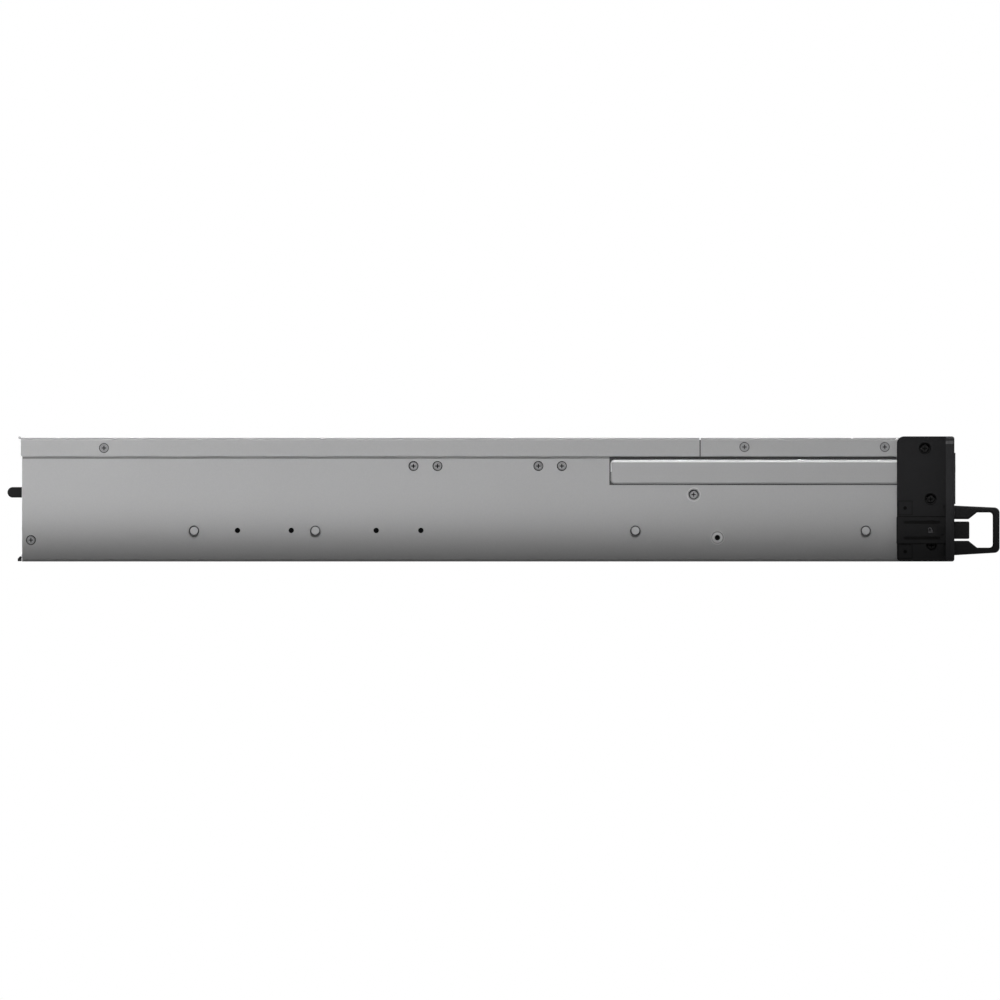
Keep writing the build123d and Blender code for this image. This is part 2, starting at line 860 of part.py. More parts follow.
# Handle: a moulded loop whose arms thicken towards the flange
with BuildPart() as handle:
    handle_front = ear_face - handle_reach
    with BuildSketch(Plane.YZ.offset(handle_centre_x - handle_width / 2)):
        with BuildLine():
            Polyline(
                (ear_face, handle_root_bottom),
                (handle_front, handle_tip_bottom),
                (handle_front, handle_tip_top),
                (ear_face, handle_root_top),
                close=True,
            )
        make_face()
        fillet(vertices().group_by(Axis.X)[0], handle_corner)
        slope_start = ear_face - handle_root_length
        slope_end = slope_start - handle_slope_length
        with BuildLine():
            Polyline(
                (ear_face, handle_arm_bottom),
                (slope_start, handle_arm_bottom),
                (slope_end, handle_loop_bottom),
                (handle_front + handle_bar, handle_loop_bottom),
                (handle_front + handle_bar, handle_loop_top),
                (slope_end, handle_loop_top),
                (slope_start, handle_arm_top),
                (ear_face, handle_arm_top),
                close=True,
            )
        make_face(mode=Mode.SUBTRACT)
        fillet(
            vertices().filter_by_position(
                Axis.X, handle_front + handle_bar - 0.1, handle_front + handle_bar + 0.1
            ),
            handle_inner_corner,
        )
    extrude(amount=handle_width)
    outer = faces().filter_by(Plane.YZ).edges().filter_by_position(
        Axis.Y, handle_front - 1, ear_face - 0.5
    )
    fillet(outer, handle_edge_round)
write(handle.part, "handle_right")
write(mirror(handle.part, about=Plane.YZ), "handle_left")

# Latch: a lever on an upright pin, with a block to press and a hook behind the rail
with BuildPart() as latch:
    arm_inside = ear_outside - latch_thickness
    arm_back = ear_back + seat
    block_back = ear_face - latch_gap
    with BuildSketch(Plane.YZ.offset(arm_inside)):
        with Locations((arm_back, latch_z)):
            Rectangle(
                arm_back - flange_back, latch_height, align=(Align.MAX, Align.CENTER)
            )
        with Locations((flange_back, latch_z)):
            Rectangle(
                flange_back - block_back + 0.1, latch_block_height, align=(Align.MAX, Align.CENTER)
            )
    extrude(amount=latch_thickness)
    with BuildSketch(Plane.YZ.offset(ear_outside)):
        with Locations((from_face(groove_middle_y), latch_z)):
            with GridLocations(1, latch_groove_spacing, 1, 2):
                RectangleRounded(groove_length, latch_groove, latch_groove / 2 - touch_gap)
    extrude(amount=-groove_depth, mode=Mode.SUBTRACT)
    # Room for the lower ear screw, which the arm partly covers
    with BuildSketch(Plane.YZ.offset(arm_inside)):
        with Locations((from_face(ear_screws_y[2]), ear_screws_z[2])):
            Circle(ear_recess_radius + latch_gap)
    extrude(amount=latch_thickness / 2, mode=Mode.SUBTRACT)
    # Hook: square towards the flange, sloped towards the back
    with BuildSketch(Plane.XY.offset(latch_z - hook_height / 2)):
        with BuildLine():
            hook_front = flange_back + slot_behind_flange
            Polyline(
                (ear_outside - 0.5, hook_front),
                (ear_outside + latch_hook_reach, hook_front),
                (ear_outside, hook_front + hook_length),
                (ear_outside - 0.5, hook_front + hook_length),
                close=True,
            )
        make_face()
    extrude(amount=hook_height)
    # Block that the finger presses
    with BuildSketch(Plane.XZ.offset(-block_back)):
        with Locations((arm_inside, latch_z)):
            Rectangle(latch_block_width, latch_block_height, align=(Align.MIN, Align.CENTER))
    extrude(amount=latch_block_depth)
    fillet(faces().sort_by(Axis.Y)[0].edges(), 1.0)
    # Barrel round the pin
    with BuildSketch(Plane.XY.offset(latch_z - latch_height / 2)):
        with Locations((ear_inside + latch_pivot_reach, ear_face + latch_pivot_y)):
            Circle(latch_barrel_radius)
    extrude(amount=latch_height)
    with BuildSketch(Plane.XY.offset(0)):
        with Locations((ear_inside + latch_pivot_reach, ear_face + latch_pivot_y)):
            Circle(latch_pin_radius + touch_gap)
    extrude(amount=panel_height, mode=Mode.SUBTRACT)
write(latch.part, "latch_right")
write(mirror(latch.part, about=Plane.YZ), "latch_left")

with BuildPart() as latch_pins:
    with BuildSketch(Plane.XY.offset(latch_z - latch_pin_length / 2)):
        with Locations((ear_inside + latch_pivot_reach, ear_face + latch_pivot_y)):
            Circle(latch_pin_radius)
    extrude(amount=latch_pin_length)
    mirror(about=Plane.YZ)
write(latch_pins.part, "latch_pins")

# Drive cage: upright dividers riveted under a top sheet, each bent with ledges for the trays
with BuildPart() as drive_cage:
    cage_length = cage_back - cage_front
    cage_half = columns * column_pitch / 2 + divider / 2
    divider_height = wall_top - cage_top_sheet - touch_gap - sheet
    with BuildSketch(Plane.XY.offset(wall_top)):
        with Locations((0, cage_front)):
            Rectangle(2 * cage_half, cage_length, align=(Align.CENTER, Align.MIN))
    extrude(amount=-cage_top_sheet)
    with BuildSketch(Plane.XY.offset(sheet)):
        with Locations((0, (cage_front + cage_back) / 2)):
            with GridLocations(column_pitch, 1, columns + 1, 1):
                Rectangle(divider, cage_length)
    extrude(amount=divider_height)
    # Windows that lighten the dividers and let air across
    with BuildSketch(Plane.YZ.offset(-cage_half)):
        with Locations((cage_back - window_inset, sheet + divider_height / 2)):
            RectangleRounded(
                window_length,
                divider_height - 2 * window_frame,
                window_corner,
                align=(Align.MAX, Align.CENTER),
            )
    extrude(amount=2 * cage_half, mode=Mode.SUBTRACT)
    with BuildSketch(Plane.XZ.offset(-(cage_back - ledge_inset))):
        for row in range(rows):
            ledge_z = first_row + row * row_pitch + rail_bottom - slide_gap - ledge_height / 2
            with Locations((0, ledge_z)):
                with GridLocations(column_pitch, 1, columns + 1, 1):
                    Rectangle(divider + 2 * ledge_width, ledge_height)
    extrude(amount=cage_back - ledge_inset - bezel_back - ledge_start)
    # The outer ledges face inwards only
    for left_or_right in (-1, 1):
        with BuildSketch(Plane.XY.offset(sheet)):
            with Locations((left_or_right * (cage_half + ledge_width / 2), (cage_front + cage_back) / 2)):
                Rectangle(ledge_width, cage_length)
        extrude(amount=divider_height, mode=Mode.SUBTRACT)
write(drive_cage.part, "drive_cage")

bay_places = [
    ((column - (columns - 1) / 2) * column_pitch, first_row + row * row_pitch)
    for row in reversed(range(rows))
    for column in range(columns)
]

# Backplane: one board behind the drives, with a connector for each and slots for air
with BuildPart() as backplane:
    with BuildSketch(Plane.XZ.offset(-backplane_y)):
        with Locations((0, sheet + slide_gap)):
            Rectangle(
                2 * cage_half, wall_top - sheet - 1, align=(Align.CENTER, Align.MIN)
            )
        with Locations(*[(x, z + connector_z + air_slot_rise) for x, z in bay_places]):
            Rectangle(air_slot_length, air_slot_height, mode=Mode.SUBTRACT)
    extrude(amount=-backplane_sheet)
    with BuildSketch(Plane.XZ.offset(-backplane_y)):
        with Locations(*[(x - connector_inset, z + connector_z) for x, z in bay_places]):
            Rectangle(connector_width, connector_height)
    extrude(amount=backplane_y - drive_back - 1)
write(backplane.part, "backplane")

# One drive tray in its own frame: the middle of its bay, with the row's base at z = 0
with BuildPart() as drive_tray:
    with BuildSketch(Plane.XZ.offset(-bezel_back)):
        with Locations((0, row_gap / 2)):
            Rectangle(tray_width, tray_height, align=(Align.CENTER, Align.MIN))
    extrude(amount=bezel_depth)
    # Pocket for the lever, and the air openings behind it
    pocket_width = tray_width - 2 * pocket_rim
    pocket_height = tray_height - 2 * pocket_rim
    pocket_middle = row_gap / 2 + tray_height / 2
    with BuildSketch(Plane.XZ.offset(-tray_front)):
        with Locations((0, pocket_middle)):
            Rectangle(pocket_width, pocket_height)
    extrude(amount=-pocket_depth, mode=Mode.SUBTRACT)
    with BuildSketch(Plane.XZ.offset(-bezel_back)):
        with Locations((0, pocket_middle)):
            with GridLocations(air_pitch, 1, air_openings, 1):
                Rectangle(air_pitch - air_bar, pocket_height - 2 * air_bar)
    extrude(amount=bezel_depth, mode=Mode.SUBTRACT)
    # Lugs that hold the lever's pins
    with BuildSketch(Plane.XY.offset(row_gap / 2)):
        with Locations((lever_pivot_x, lever_pivot_y)):
            Circle(lever_pin_radius + slide_gap / 4)
    extrude(amount=tray_height, mode=Mode.SUBTRACT)
    # Side rails that slide on the ledges
    with BuildSketch(Plane.YZ.offset(drive_width / 2)):
        with Locations((bezel_back, rail_bottom)):
            Rectangle(rail_length, rail_height, align=(Align.MIN, Align.MIN))
        chamfer(vertices().group_by(Axis.X)[-1], rail_lead)
    extrude(amount=rail_width)
    with BuildSketch(Plane.YZ.offset(-drive_width / 2)):
        with Locations((bezel_back, rail_bottom)):
            Rectangle(rail_length, rail_height, align=(Align.MIN, Align.MIN))
        chamfer(vertices().group_by(Axis.X)[-1], rail_lead)
    extrude(amount=-rail_width)
    # Catch at the free end of the lever
    with BuildSketch(Plane.XZ.offset(-tray_front - lever_gap)):
        with Locations((tray_width / 2 - pocket_rim, pocket_middle)):
            Rectangle(tray_catch_width, pocket_height, align=(Align.MAX, Align.CENTER))
    extrude(amount=-pocket_depth + lever_gap)
    # The drive itself, with the recess of its connector and the raised lid of its case
    with BuildSketch(Plane.XY.offset(drive_bottom)):
        with Locations((0, drive_back)):
            Rectangle(drive_width, drive_length, align=(Align.CENTER, Align.MAX))
        fillet(vertices(), 2)
    extrude(amount=drive_height - drive_lid)
    with BuildSketch(Plane.XY.offset(drive_bottom + drive_height - drive_lid)):
        with Locations((0, drive_back - drive_length / 2)):
            Rectangle(drive_width - 2 * drive_rim, drive_length - 2 * drive_rim)
        chamfer(vertices(), 4 * drive_rim)
    extrude(amount=drive_lid)
    with BuildSketch(Plane.XZ.offset(-drive_back)):
        with Locations((-connector_inset, connector_z)):
            Rectangle(connector_width + 2, connector_height + 2)
    extrude(amount=connector_depth, mode=Mode.SUBTRACT)

# Lever of a tray, hinged at its left end on pins that are moulded with it
with BuildPart() as tray_lever:
    lever_height = pocket_height - 2 * lever_gap
    lever_low = pocket_middle - lever_height / 2
    lever_end = tray_width / 2 - pocket_rim - tray_catch_width - lever_gap
    with BuildSketch(Plane.XY.offset(lever_low)):
        with Locations((lever_pivot_x, lever_pivot_y)):
            Circle(lever_barrel)
            Rectangle(
                lever_end - lever_pivot_x, lever_thickness, align=(Align.MIN, Align.CENTER)
            )
    extrude(amount=lever_height)
    with BuildSketch(Plane.XY.offset(lever_low - pocket_rim)):
        with Locations((lever_pivot_x, lever_pivot_y)):
            Circle(lever_pin_radius)
    extrude(amount=lever_height + 2 * pocket_rim)
    # Air openings, and a scoop for the finger at the free end
    with BuildSketch(Plane.XZ.offset(-tray_front)):
        with Locations(((lever_pivot_x + lever_end) / 2 - finger_room / 2, pocket_middle)):
            with GridLocations(air_pitch, 1, lever_openings, 1):
                RectangleRounded(air_pitch - air_bar, lever_height - 3 * air_bar, air_corner)
    extrude(amount=-pocket_depth, mode=Mode.SUBTRACT)
    with BuildSketch(Plane.XY.offset(lever_low + lever_height / 2)):
        with Locations((lever_end, lever_pivot_y - lever_thickness / 2 - 0.6)):
            Circle(finger_radius)
    extrude(amount=lever_height / 4, both=True, mode=Mode.SUBTRACT)

for number, (bay_x, bay_z) in enumerate(bay_places, start=1):
    place = Location((bay_x, 0, bay_z))
    write(drive_tray.part.moved(place), f"drive_tray_{number:02d}")
    write(tray_lever.part.moved(place), f"tray_lever_{number:02d}")

fan_places = [((i - (fan_count - 1) / 2) * fan_pitch) for i in range(fan_count)]
fan_middle_z = fan_base + fan_size / 2
fan_front = from_face(fan_front_y)
fan_back = fan_front + fan_depth

# Fan cage: a bent tray with a round opening before and behind each fan
with BuildPart() as fan_cage:
    cage_depth = fan_depth + 2 * (seat + sheet)
    fan_cage_half = fan_pitch * (fan_count - 1) / 2 + fan_size / 2 + fan_margin
    with BuildSketch(Plane.XY.offset(sheet)):
        with Locations((0, fan_front + fan_depth / 2)):
            Rectangle(2 * fan_cage_half, cage_depth)
    extrude(amount=fan_cage_height)
    with BuildSketch(Plane.XY.offset(2 * sheet)):
        with Locations((0, fan_front + fan_depth / 2)):
            Rectangle(2 * fan_cage_half - 2 * sheet, cage_depth - 2 * sheet)
    extrude(amount=panel_height, mode=Mode.SUBTRACT)
    with BuildSketch(Plane.XZ.offset(-(fan_back + 2 * sheet))):
        with Locations(*[(x, fan_middle_z) for x in fan_places]):
            Circle(fan_bore + seat)
        # Openings between the fans for the cables of the backplane
        with Locations(*[((a + b) / 2, sheet + fan_cage_height) for a, b in zip(fan_places, fan_places[1:])]):
            Rectangle(cable_gap_width, 2 * cable_gap_depth)
    extrude(amount=cage_depth + 4 * sheet, mode=Mode.SUBTRACT)
    # Posts that keep each fan in its place
    with BuildSketch(Plane.XY.offset(2 * sheet)):
        for x in fan_places:
            with Locations((x, fan_front + fan_depth / 2)):
                with GridLocations(fan_size + 2 * seat + sheet, fan_depth + 2 * seat - fan_post, 2, 2):
                    Rectangle(sheet, fan_post)
    extrude(amount=fan_cage_height - sheet)
write(fan_cage.part, "fan_cage")

# One fan frame: two square flanges, the tube between them, and the struts of the motor seat
with BuildPart() as fan_frame:
    with BuildSketch(Plane.XZ.offset(-fan_back)):
        with Locations((0, fan_middle_z)):
            RectangleRounded(fan_size, fan_size, fan_corner)
    extrude(amount=fan_depth)
    with BuildSketch(Plane.XZ.offset(-(fan_back - fan_flange))):
        with Locations((0, fan_middle_z)):
            Rectangle(fan_size, fan_size)
            Circle(fan_bore + fan_tube, mode=Mode.SUBTRACT)
    extrude(amount=fan_depth - 2 * fan_flange, mode=Mode.SUBTRACT)
    with BuildSketch(Plane.XZ.offset(-fan_back)):
        with Locations((0, fan_middle_z)):
            Circle(fan_bore)
    extrude(amount=fan_depth, mode=Mode.SUBTRACT)
    with BuildSketch(Plane.XZ.offset(-fan_back)):
        with Locations((0, fan_middle_z)):
            Circle(fan_hub_radius)
            with PolarLocations((fan_hub_radius + fan_bore) / 2, fan_struts, start_angle=45):
                Rectangle(fan_bore - fan_hub_radius + 2, fan_strut)
    extrude(amount=fan_seat)
    with BuildSketch(Plane.XZ.offset(-fan_back)):
        with Locations((0, fan_middle_z)):
            Circle(fan_shaft_radius + touch_gap)
            with GridLocations(fan_hole_pitch, fan_hole_pitch, 2, 2):
                Circle(fan_hole_radius)
    extrude(amount=fan_depth, mode=Mode.SUBTRACT)
with BuildPart() as fan_frames:
    with Locations(*[(x, 0, 0) for x in fan_places]):
        add(fan_frame.part)
write(fan_frames.part, "fan_frames")


def rotor(hub_radius, tip_radius, hub_depth, blades, turns, shaft_radius, shaft):
    """Fan wheel on the Y axis, with its hub's back at the origin and its nose towards -Y."""
    with BuildPart() as wheel:
        with BuildSketch(Plane.XZ):
            Circle(hub_radius)
        extrude(amount=hub_depth)
        fillet(faces().sort_by(Axis.Y)[0].edges(), hub_radius / 8)
        with BuildSketch(Plane.XZ):
            Circle(shaft_radius)
        extrude(amount=-shaft)
        chord = hub_depth * blade_share
        for k in range(blades):
            turned = Plane.XY.rotated((0, 360 / blades * k, 0))
            for radius, pitch in zip((hub_radius - blade_root, tip_radius), turns):
                face = Plane(
                    turned.from_local_coords(Vector(0, -hub_depth / 2, radius)),
                    x_dir=turned.from_local_coords(Vector(1, 0, 0)),
                    z_dir=turned.from_local_coords(Vector(0, 0, 1)),
                )
                with BuildSketch(face):
                    Rectangle(blade_thickness, chord, rotation=pitch)
            loft()
    return wheel.part


fan_wheel = rotor(
    fan_hub_radius, fan_bore - blade_clearance, fan_wheel_depth, fan_blades, fan_blade_turns,
    fan_shaft_radius, fan_seat,
)
for number, fan_x in enumerate(fan_places, start=1):
    place = Location((fan_x, fan_back - fan_seat - fan_wheel_gap, fan_middle_z))
    write(fan_wheel.moved(place), f"fan_rotor_{number}")

# Two cross bars, bent down on all sides and screwed to the side walls
with BuildPart() as crossbars:
    for pair in (bar_screws_y[:2], bar_screws_y[2:]):
        bar_middle = from_face(sum(pair) / 2)
        with BuildSketch(Plane.XY.offset(bar_top)):
            with Locations((0, bar_middle)):
                Rectangle(2 * (inner_side - seat), bar_width)
        extrude(amount=-bar_depth)
        with BuildSketch(Plane.XY.offset(bar_top - sheet)):
            with Locations((0, bar_middle)):
                Rectangle(2 * (inner_side - seat - sheet), bar_width - 2 * sheet)
        extrude(amount=-bar_depth, mode=Mode.SUBTRACT)
    with BuildSketch(Plane.YZ.offset(-panel_width / 2)):
        with Locations(*[(from_face(y), bar_screw_z) for y in bar_screws_y]):
            Circle(screw_radius + touch_gap)
    extrude(amount=panel_width, mode=Mode.SUBTRACT)
write(crossbars.part, "crossbars")

# Main board with its sockets
with BuildPart() as mainboard:
    board_front = from_face(board_front_y)
    board_back = board_front + board_length
    with BuildSketch(Plane.XY.offset(board_bottom)):
        with Locations((board_left, board_front)):
            Rectangle(board_width, board_length, align=(Align.MIN, Align.MIN))
    extrude(amount=board_sheet)
    # Processor sockets
    with BuildSketch(Plane.XY.offset(board_top)):
        with Locations(*[(x, processor_y) for x in processor_x]):
            Rectangle(*processor_socket)
    extrude(amount=socket_rise)
    # Memory sockets, each with a groove for its module
    with BuildSketch(Plane.XY.offset(board_top)):
        with Locations(*[(x, processor_y) for x in memory_x]):
            Rectangle(memory_socket_width, memory_length + 2 * memory_socket_spare)
    extrude(amount=memory_socket_height)
    with BuildSketch(Plane.XY.offset(board_top + memory_socket_height)):
        with Locations(*[(x, processor_y) for x in memory_x]):
            Rectangle(memory_sheet + 2 * touch_gap, memory_length + 2 * slide_gap)
    extrude(amount=-memory_groove, mode=Mode.SUBTRACT)
    # Card slots in line with the covers at the back
    with BuildSketch(Plane.XY.offset(board_top)):
        with Locations(*[(x - card_slot_shift, board_back - card_slot_inset) for x in card_x]):
            Rectangle(*card_slot)
        with Locations((vent_middle, board_back - chipset_inset)):
            Rectangle(chipset_cooler, chipset_cooler)
    extrude(amount=card_slot_height)
write(mainboard.part, "mainboard")

with BuildPart() as memory_modules:
    memory_bottom = board_top + memory_socket_height - memory_groove + slide_gap
    with BuildSketch(Plane.XY.offset(memory_bottom)):
        with Locations(*[(x, processor_y) for x in memory_x]):
            Rectangle(memory_sheet, memory_length)
    extrude(amount=memory_height)
    with BuildSketch(Plane.XY.offset(memory_bottom + memory_chip_rise)):
        with Locations(*[(x, processor_y) for x in memory_x]):
            Rectangle(
                memory_sheet + 2 * memory_chip_thickness, memory_length - 2 * memory_chip_inset
            )
    extrude(amount=memory_chip_height)
write(memory_modules.part, "memory_modules")

# Passive coolers of the two processors
with BuildPart() as cpu_heatsinks:
    with BuildSketch(Plane.XY.offset(board_top + socket_rise)):
        with Locations(*[(x, processor_y) for x in processor_x]):
            Rectangle(cooler_width, cooler_length)
    extrude(amount=cooler_base)
    with BuildSketch(Plane.XY.offset(board_top + socket_rise + cooler_base)):
        for x in processor_x:
            with Locations((x, processor_y)):
                with GridLocations(cooler_width / cooler_fins, 1, cooler_fins, 1):
                    Rectangle(cooler_fin, cooler_length)
    extrude(amount=cooler_height)
write(cpu_heatsinks.part, "cpu_heatsinks")

# Power bay: inner wall, dividers between the supplies and a top sheet, in one piece
with BuildPart() as power_cage:
    cage_y = (rear_face - psu_length - bay_depth_spare, rear_face)
    power_top = psu_bottom + psu_height + psu_gap
    with BuildSketch(Plane.XY.offset(power_top)):
        with Locations((-upper_wall_inner, cage_y[0])):
            Rectangle(
                power_bay_edge + sheet + upper_wall_inner,
                cage_y[1] - cage_y[0],
                align=(Align.MIN, Align.MIN),
            )
    extrude(amount=bay_divider)
    with BuildSketch(Plane.XY.offset(sheet)):
        with Locations((power_bay_edge, cage_y[0])):
            Rectangle(sheet, cage_y[1] - cage_y[0], align=(Align.MIN, Align.MIN))
        for centre in psu_centres[:-1]:
            with Locations((centre + psu_width / 2 + psu_gap, cage_y[0])):
                Rectangle(bay_divider, cage_y[1] - cage_y[0], align=(Align.MIN, Align.MIN))
        with Locations((-upper_wall_inner, cage_y[0])):
            Rectangle(
                power_bay_edge + sheet + upper_wall_inner, sheet, align=(Align.MIN, Align.MIN)
            )
    extrude(amount=power_top - sheet)
    # Foot along the floor beside the main board
    with BuildSketch(Plane.XY.offset(sheet)):
        with Locations((power_bay_edge + sheet, cage_y[0])):
            Rectangle(foot_width, cage_y[1] - cage_y[0] - foot_short, align=(Align.MIN, Align.MIN))
    extrude(amount=bay_divider)
write(power_cage.part, "power_cage")

# One power supply in its own frame: X from its middle, Y and Z as in the whole object
psu_rear = rear_face
fan_40_z = psu_bottom + psu_height - psu_fan_inset
inlet_z = psu_bottom + inlet_rise
with BuildPart() as power_supply:
    with BuildSketch(Plane.XY.offset(psu_bottom)):
        with Locations((0, psu_rear)):
            Rectangle(psu_width, psu_length, align=(Align.CENTER, Align.MAX))
    extrude(amount=psu_height)
    with BuildSketch(Plane.XY.offset(psu_bottom + psu_wall)):
        with Locations((0, psu_rear - psu_wall)):
            Rectangle(
                psu_width - 2 * psu_wall,
                psu_length - 2 * psu_wall,
                align=(Align.CENTER, Align.MAX),
            )
    extrude(amount=psu_height - 2 * psu_wall, mode=Mode.SUBTRACT)
    # Finger guard of the fan, with the motor seat behind its middle
    with BuildSketch(Plane.XZ.offset(-psu_rear)):
        with Locations((0, fan_40_z)):
            Circle(psu_fan_bore)
            for ring in guard_rings:
                Circle(ring + guard_wire / 2, mode=Mode.SUBTRACT)
                Circle(ring - guard_wire / 2)
            for angle in (45, -45):
                Rectangle(guard_wire, 2 * psu_fan_bore, rotation=angle, mode=Mode.SUBTRACT)
    extrude(amount=psu_wall, mode=Mode.SUBTRACT)
    with BuildSketch(Plane.XZ.offset(-(psu_rear - psu_wall))):
        with Locations((0, fan_40_z)):
            Circle(psu_shaft_radius + psu_wall)
    extrude(amount=psu_shaft_length + psu_wall)
    with BuildSketch(Plane.XZ.offset(-(psu_rear - 2 * psu_wall))):
        with Locations((0, fan_40_z)):
            Circle(psu_shaft_radius + touch_gap)
    extrude(amount=psu_fan_depth, mode=Mode.SUBTRACT)
    # Frame of the fan, clamped behind the guard
    with BuildSketch(Plane.XZ.offset(-(psu_rear - psu_wall - touch_gap))):
        with Locations((0, fan_40_z)):
            RectangleRounded(psu_fan_size, psu_fan_size, psu_fan_corner)
            Circle(psu_fan_bore, mode=Mode.SUBTRACT)
    extrude(amount=psu_fan_depth)
    # Opening for the inlet, and one for the release catch
    with BuildSketch(Plane.XZ.offset(-psu_rear)):
        with Locations((0, inlet_z)):
            Rectangle(
                inlet_width + 2 * (inlet_wall + touch_gap),
                inlet_height + 2 * (inlet_wall + touch_gap),
            )
        with Locations((catch_x, psu_bottom + psu_wall + catch_stem_height / 2)):
            Rectangle(
                catch_stem_width + 2 * (catch_travel + catch_slot_spare),
                catch_stem_height + 2 * slide_gap,
            )
    extrude(amount=psu_wall, mode=Mode.SUBTRACT)
    # Appliance inlet: a moulded socket with three pins
    with BuildSketch(Plane.XZ.offset(-psu_rear)):
        with Locations((0, inlet_z)):
            Rectangle(inlet_width + 2 * inlet_wall, inlet_height + 2 * inlet_wall)
    extrude(amount=inlet_depth + inlet_wall)
    with BuildSketch(Plane.XZ.offset(-psu_rear)):
        with Locations((0, inlet_z)):
            Rectangle(inlet_width, inlet_height)
            chamfer(vertices().group_by(Axis.Y)[-1], inlet_corner)
    extrude(amount=inlet_depth, mode=Mode.SUBTRACT)
    with BuildSketch(Plane.XZ.offset(-(psu_rear - inlet_depth))):
        with Locations(
            (0, inlet_z + inlet_pin_drop),
            (-inlet_pin_spread, inlet_z - inlet_pin_drop),
            (inlet_pin_spread, inlet_z - inlet_pin_drop),
        ):
            Rectangle(*inlet_pin)
    extrude(amount=inlet_pin_depth - inlet_depth)
    # Vents in the inner end
    with BuildSketch(Plane.XZ.offset(-(psu_rear - psu_length))):
        with Locations((0, psu_bottom + psu_height / 2)):
            with GridLocations(psu_vent_pitch, 1, psu_vents, 1):
                Rectangle(psu_vent_width, psu_height - 2 * psu_vent_margin)
    extrude(amount=-psu_wall, mode=Mode.SUBTRACT)
    # Grip: a bar on two posts, bullet shaped from the side, with room for the fingers
    grip_nose = psu_rear + grip_reach - grip_height / 2
    with BuildSketch(Plane.YZ.offset(-grip_width / 2)):
        with Locations((psu_rear + touch_gap, grip_centre_z)):
            Rectangle(
                grip_nose - psu_rear - touch_gap, grip_height, align=(Align.MIN, Align.CENTER)
            )
        with Locations((grip_nose, grip_centre_z)):
            Circle(grip_height / 2)
    extrude(amount=grip_width)
    with BuildSketch(Plane.XY.offset(grip_centre_z - grip_height)):
        with Locations((0, psu_rear)):
            Rectangle(
                grip_width - 2 * grip_post, grip_room, align=(Align.CENTER, Align.MIN)
            )
    extrude(amount=2 * grip_height, mode=Mode.SUBTRACT)

psu_wheel = rotor(
    psu_hub_radius, psu_fan_bore - blade_clearance, psu_wheel_depth, psu_fan_blades, psu_blade_turns,
    psu_shaft_radius, psu_shaft_length - psu_wall,
)
wheel_back = psu_rear - 2 * psu_wall - psu_shaft_length

# Release catch of a power supply: a thumb tab outside and a tongue in the slot
with BuildPart() as release_catch:
    with BuildSketch(Plane.YZ.offset(catch_x - catch_width / 2)):
        with BuildLine():
            Polyline(
                (psu_rear + slide_gap, catch_low),
                (psu_rear + catch_reach, catch_low),
                (psu_rear + catch_reach, catch_low + catch_height / 2),
                (psu_rear + catch_reach / 2, catch_low + catch_height),
                (psu_rear + slide_gap, catch_low + catch_height),
                close=True,
            )
        make_face()
    extrude(amount=catch_width)
    with BuildSketch(Plane.XZ.offset(-(psu_rear + slide_gap))):
        with Locations((catch_x, psu_bottom + psu_wall + catch_stem_height / 2)):
            Rectangle(catch_stem_width, catch_stem_height - slide_gap)
    extrude(amount=slide_gap + psu_wall + catch_stem_depth)

for number, centre in enumerate(psu_centres, start=1):
    place = Location((centre, 0, 0))
    write(power_supply.part.moved(place), f"power_supply_{number}")
    write(release_catch.part.moved(place), f"release_catch_{number}")
    wheel_place = Location((centre, wheel_back, fan_40_z))
    write(psu_wheel.moved(wheel_place), f"supply_fan_{number}")

# Rear panel beside the power bay, with its vents, and the plate round the sockets
panel_left = power_bay_edge + sheet
io_left = rear_sockets[0][0] - rear_sockets[0][1] / 2 - io_margin
io_right = rear_sockets[-1][0] + rear_sockets[-1][1] / 2 + io_margin
with BuildPart() as rear_panel:
    with BuildSketch(Plane.XZ.offset(-rear_face)):
        with Locations((panel_left, sheet)):
            Rectangle(
                inner_side - seat - panel_left,
                step_bottom - 2 * sheet - sheet,
                align=(Align.MIN, Align.MIN),
            )
            Rectangle(
                upper_wall_inner - seat - panel_left, wall_top - sheet, align=(Align.MIN, Align.MIN)
            )
        with Locations((io_left - touch_gap, io_plate_low - touch_gap)):
            Rectangle(
                io_right - io_left + 2 * touch_gap,
                io_plate_height + 2 * touch_gap,
                align=(Align.MIN, Align.MIN),
                mode=Mode.SUBTRACT,
            )
        with Locations(*[(x, card_low + card_height / 2) for x in card_x]):
            Rectangle(card_opening, card_height, mode=Mode.SUBTRACT)
        with Locations((vent_middle, vent_z)):
            with GridLocations(vent_pitch_x, vent_pitch_z, vent_columns, vent_rows):
                RegularPolygon(vent_radius, 6, mode=Mode.SUBTRACT)
    extrude(amount=sheet)
    with BuildSketch(Plane.XZ.offset(-rear_face)):
        with Locations((io_left, io_plate_low)):
            Rectangle(io_right - io_left, io_plate_height, align=(Align.MIN, Align.MIN))
        for x, width, height in rear_sockets:
            with Locations((x, board_top - slide_gap)):
                Rectangle(
                    width + 2 * slide_gap,
                    height + 2 * slide_gap,
                    align=(Align.CENTER, Align.MIN),
                    mode=Mode.SUBTRACT,
                )
    extrude(amount=io_plate_sheet)
write(rear_panel.part, "rear_panel")

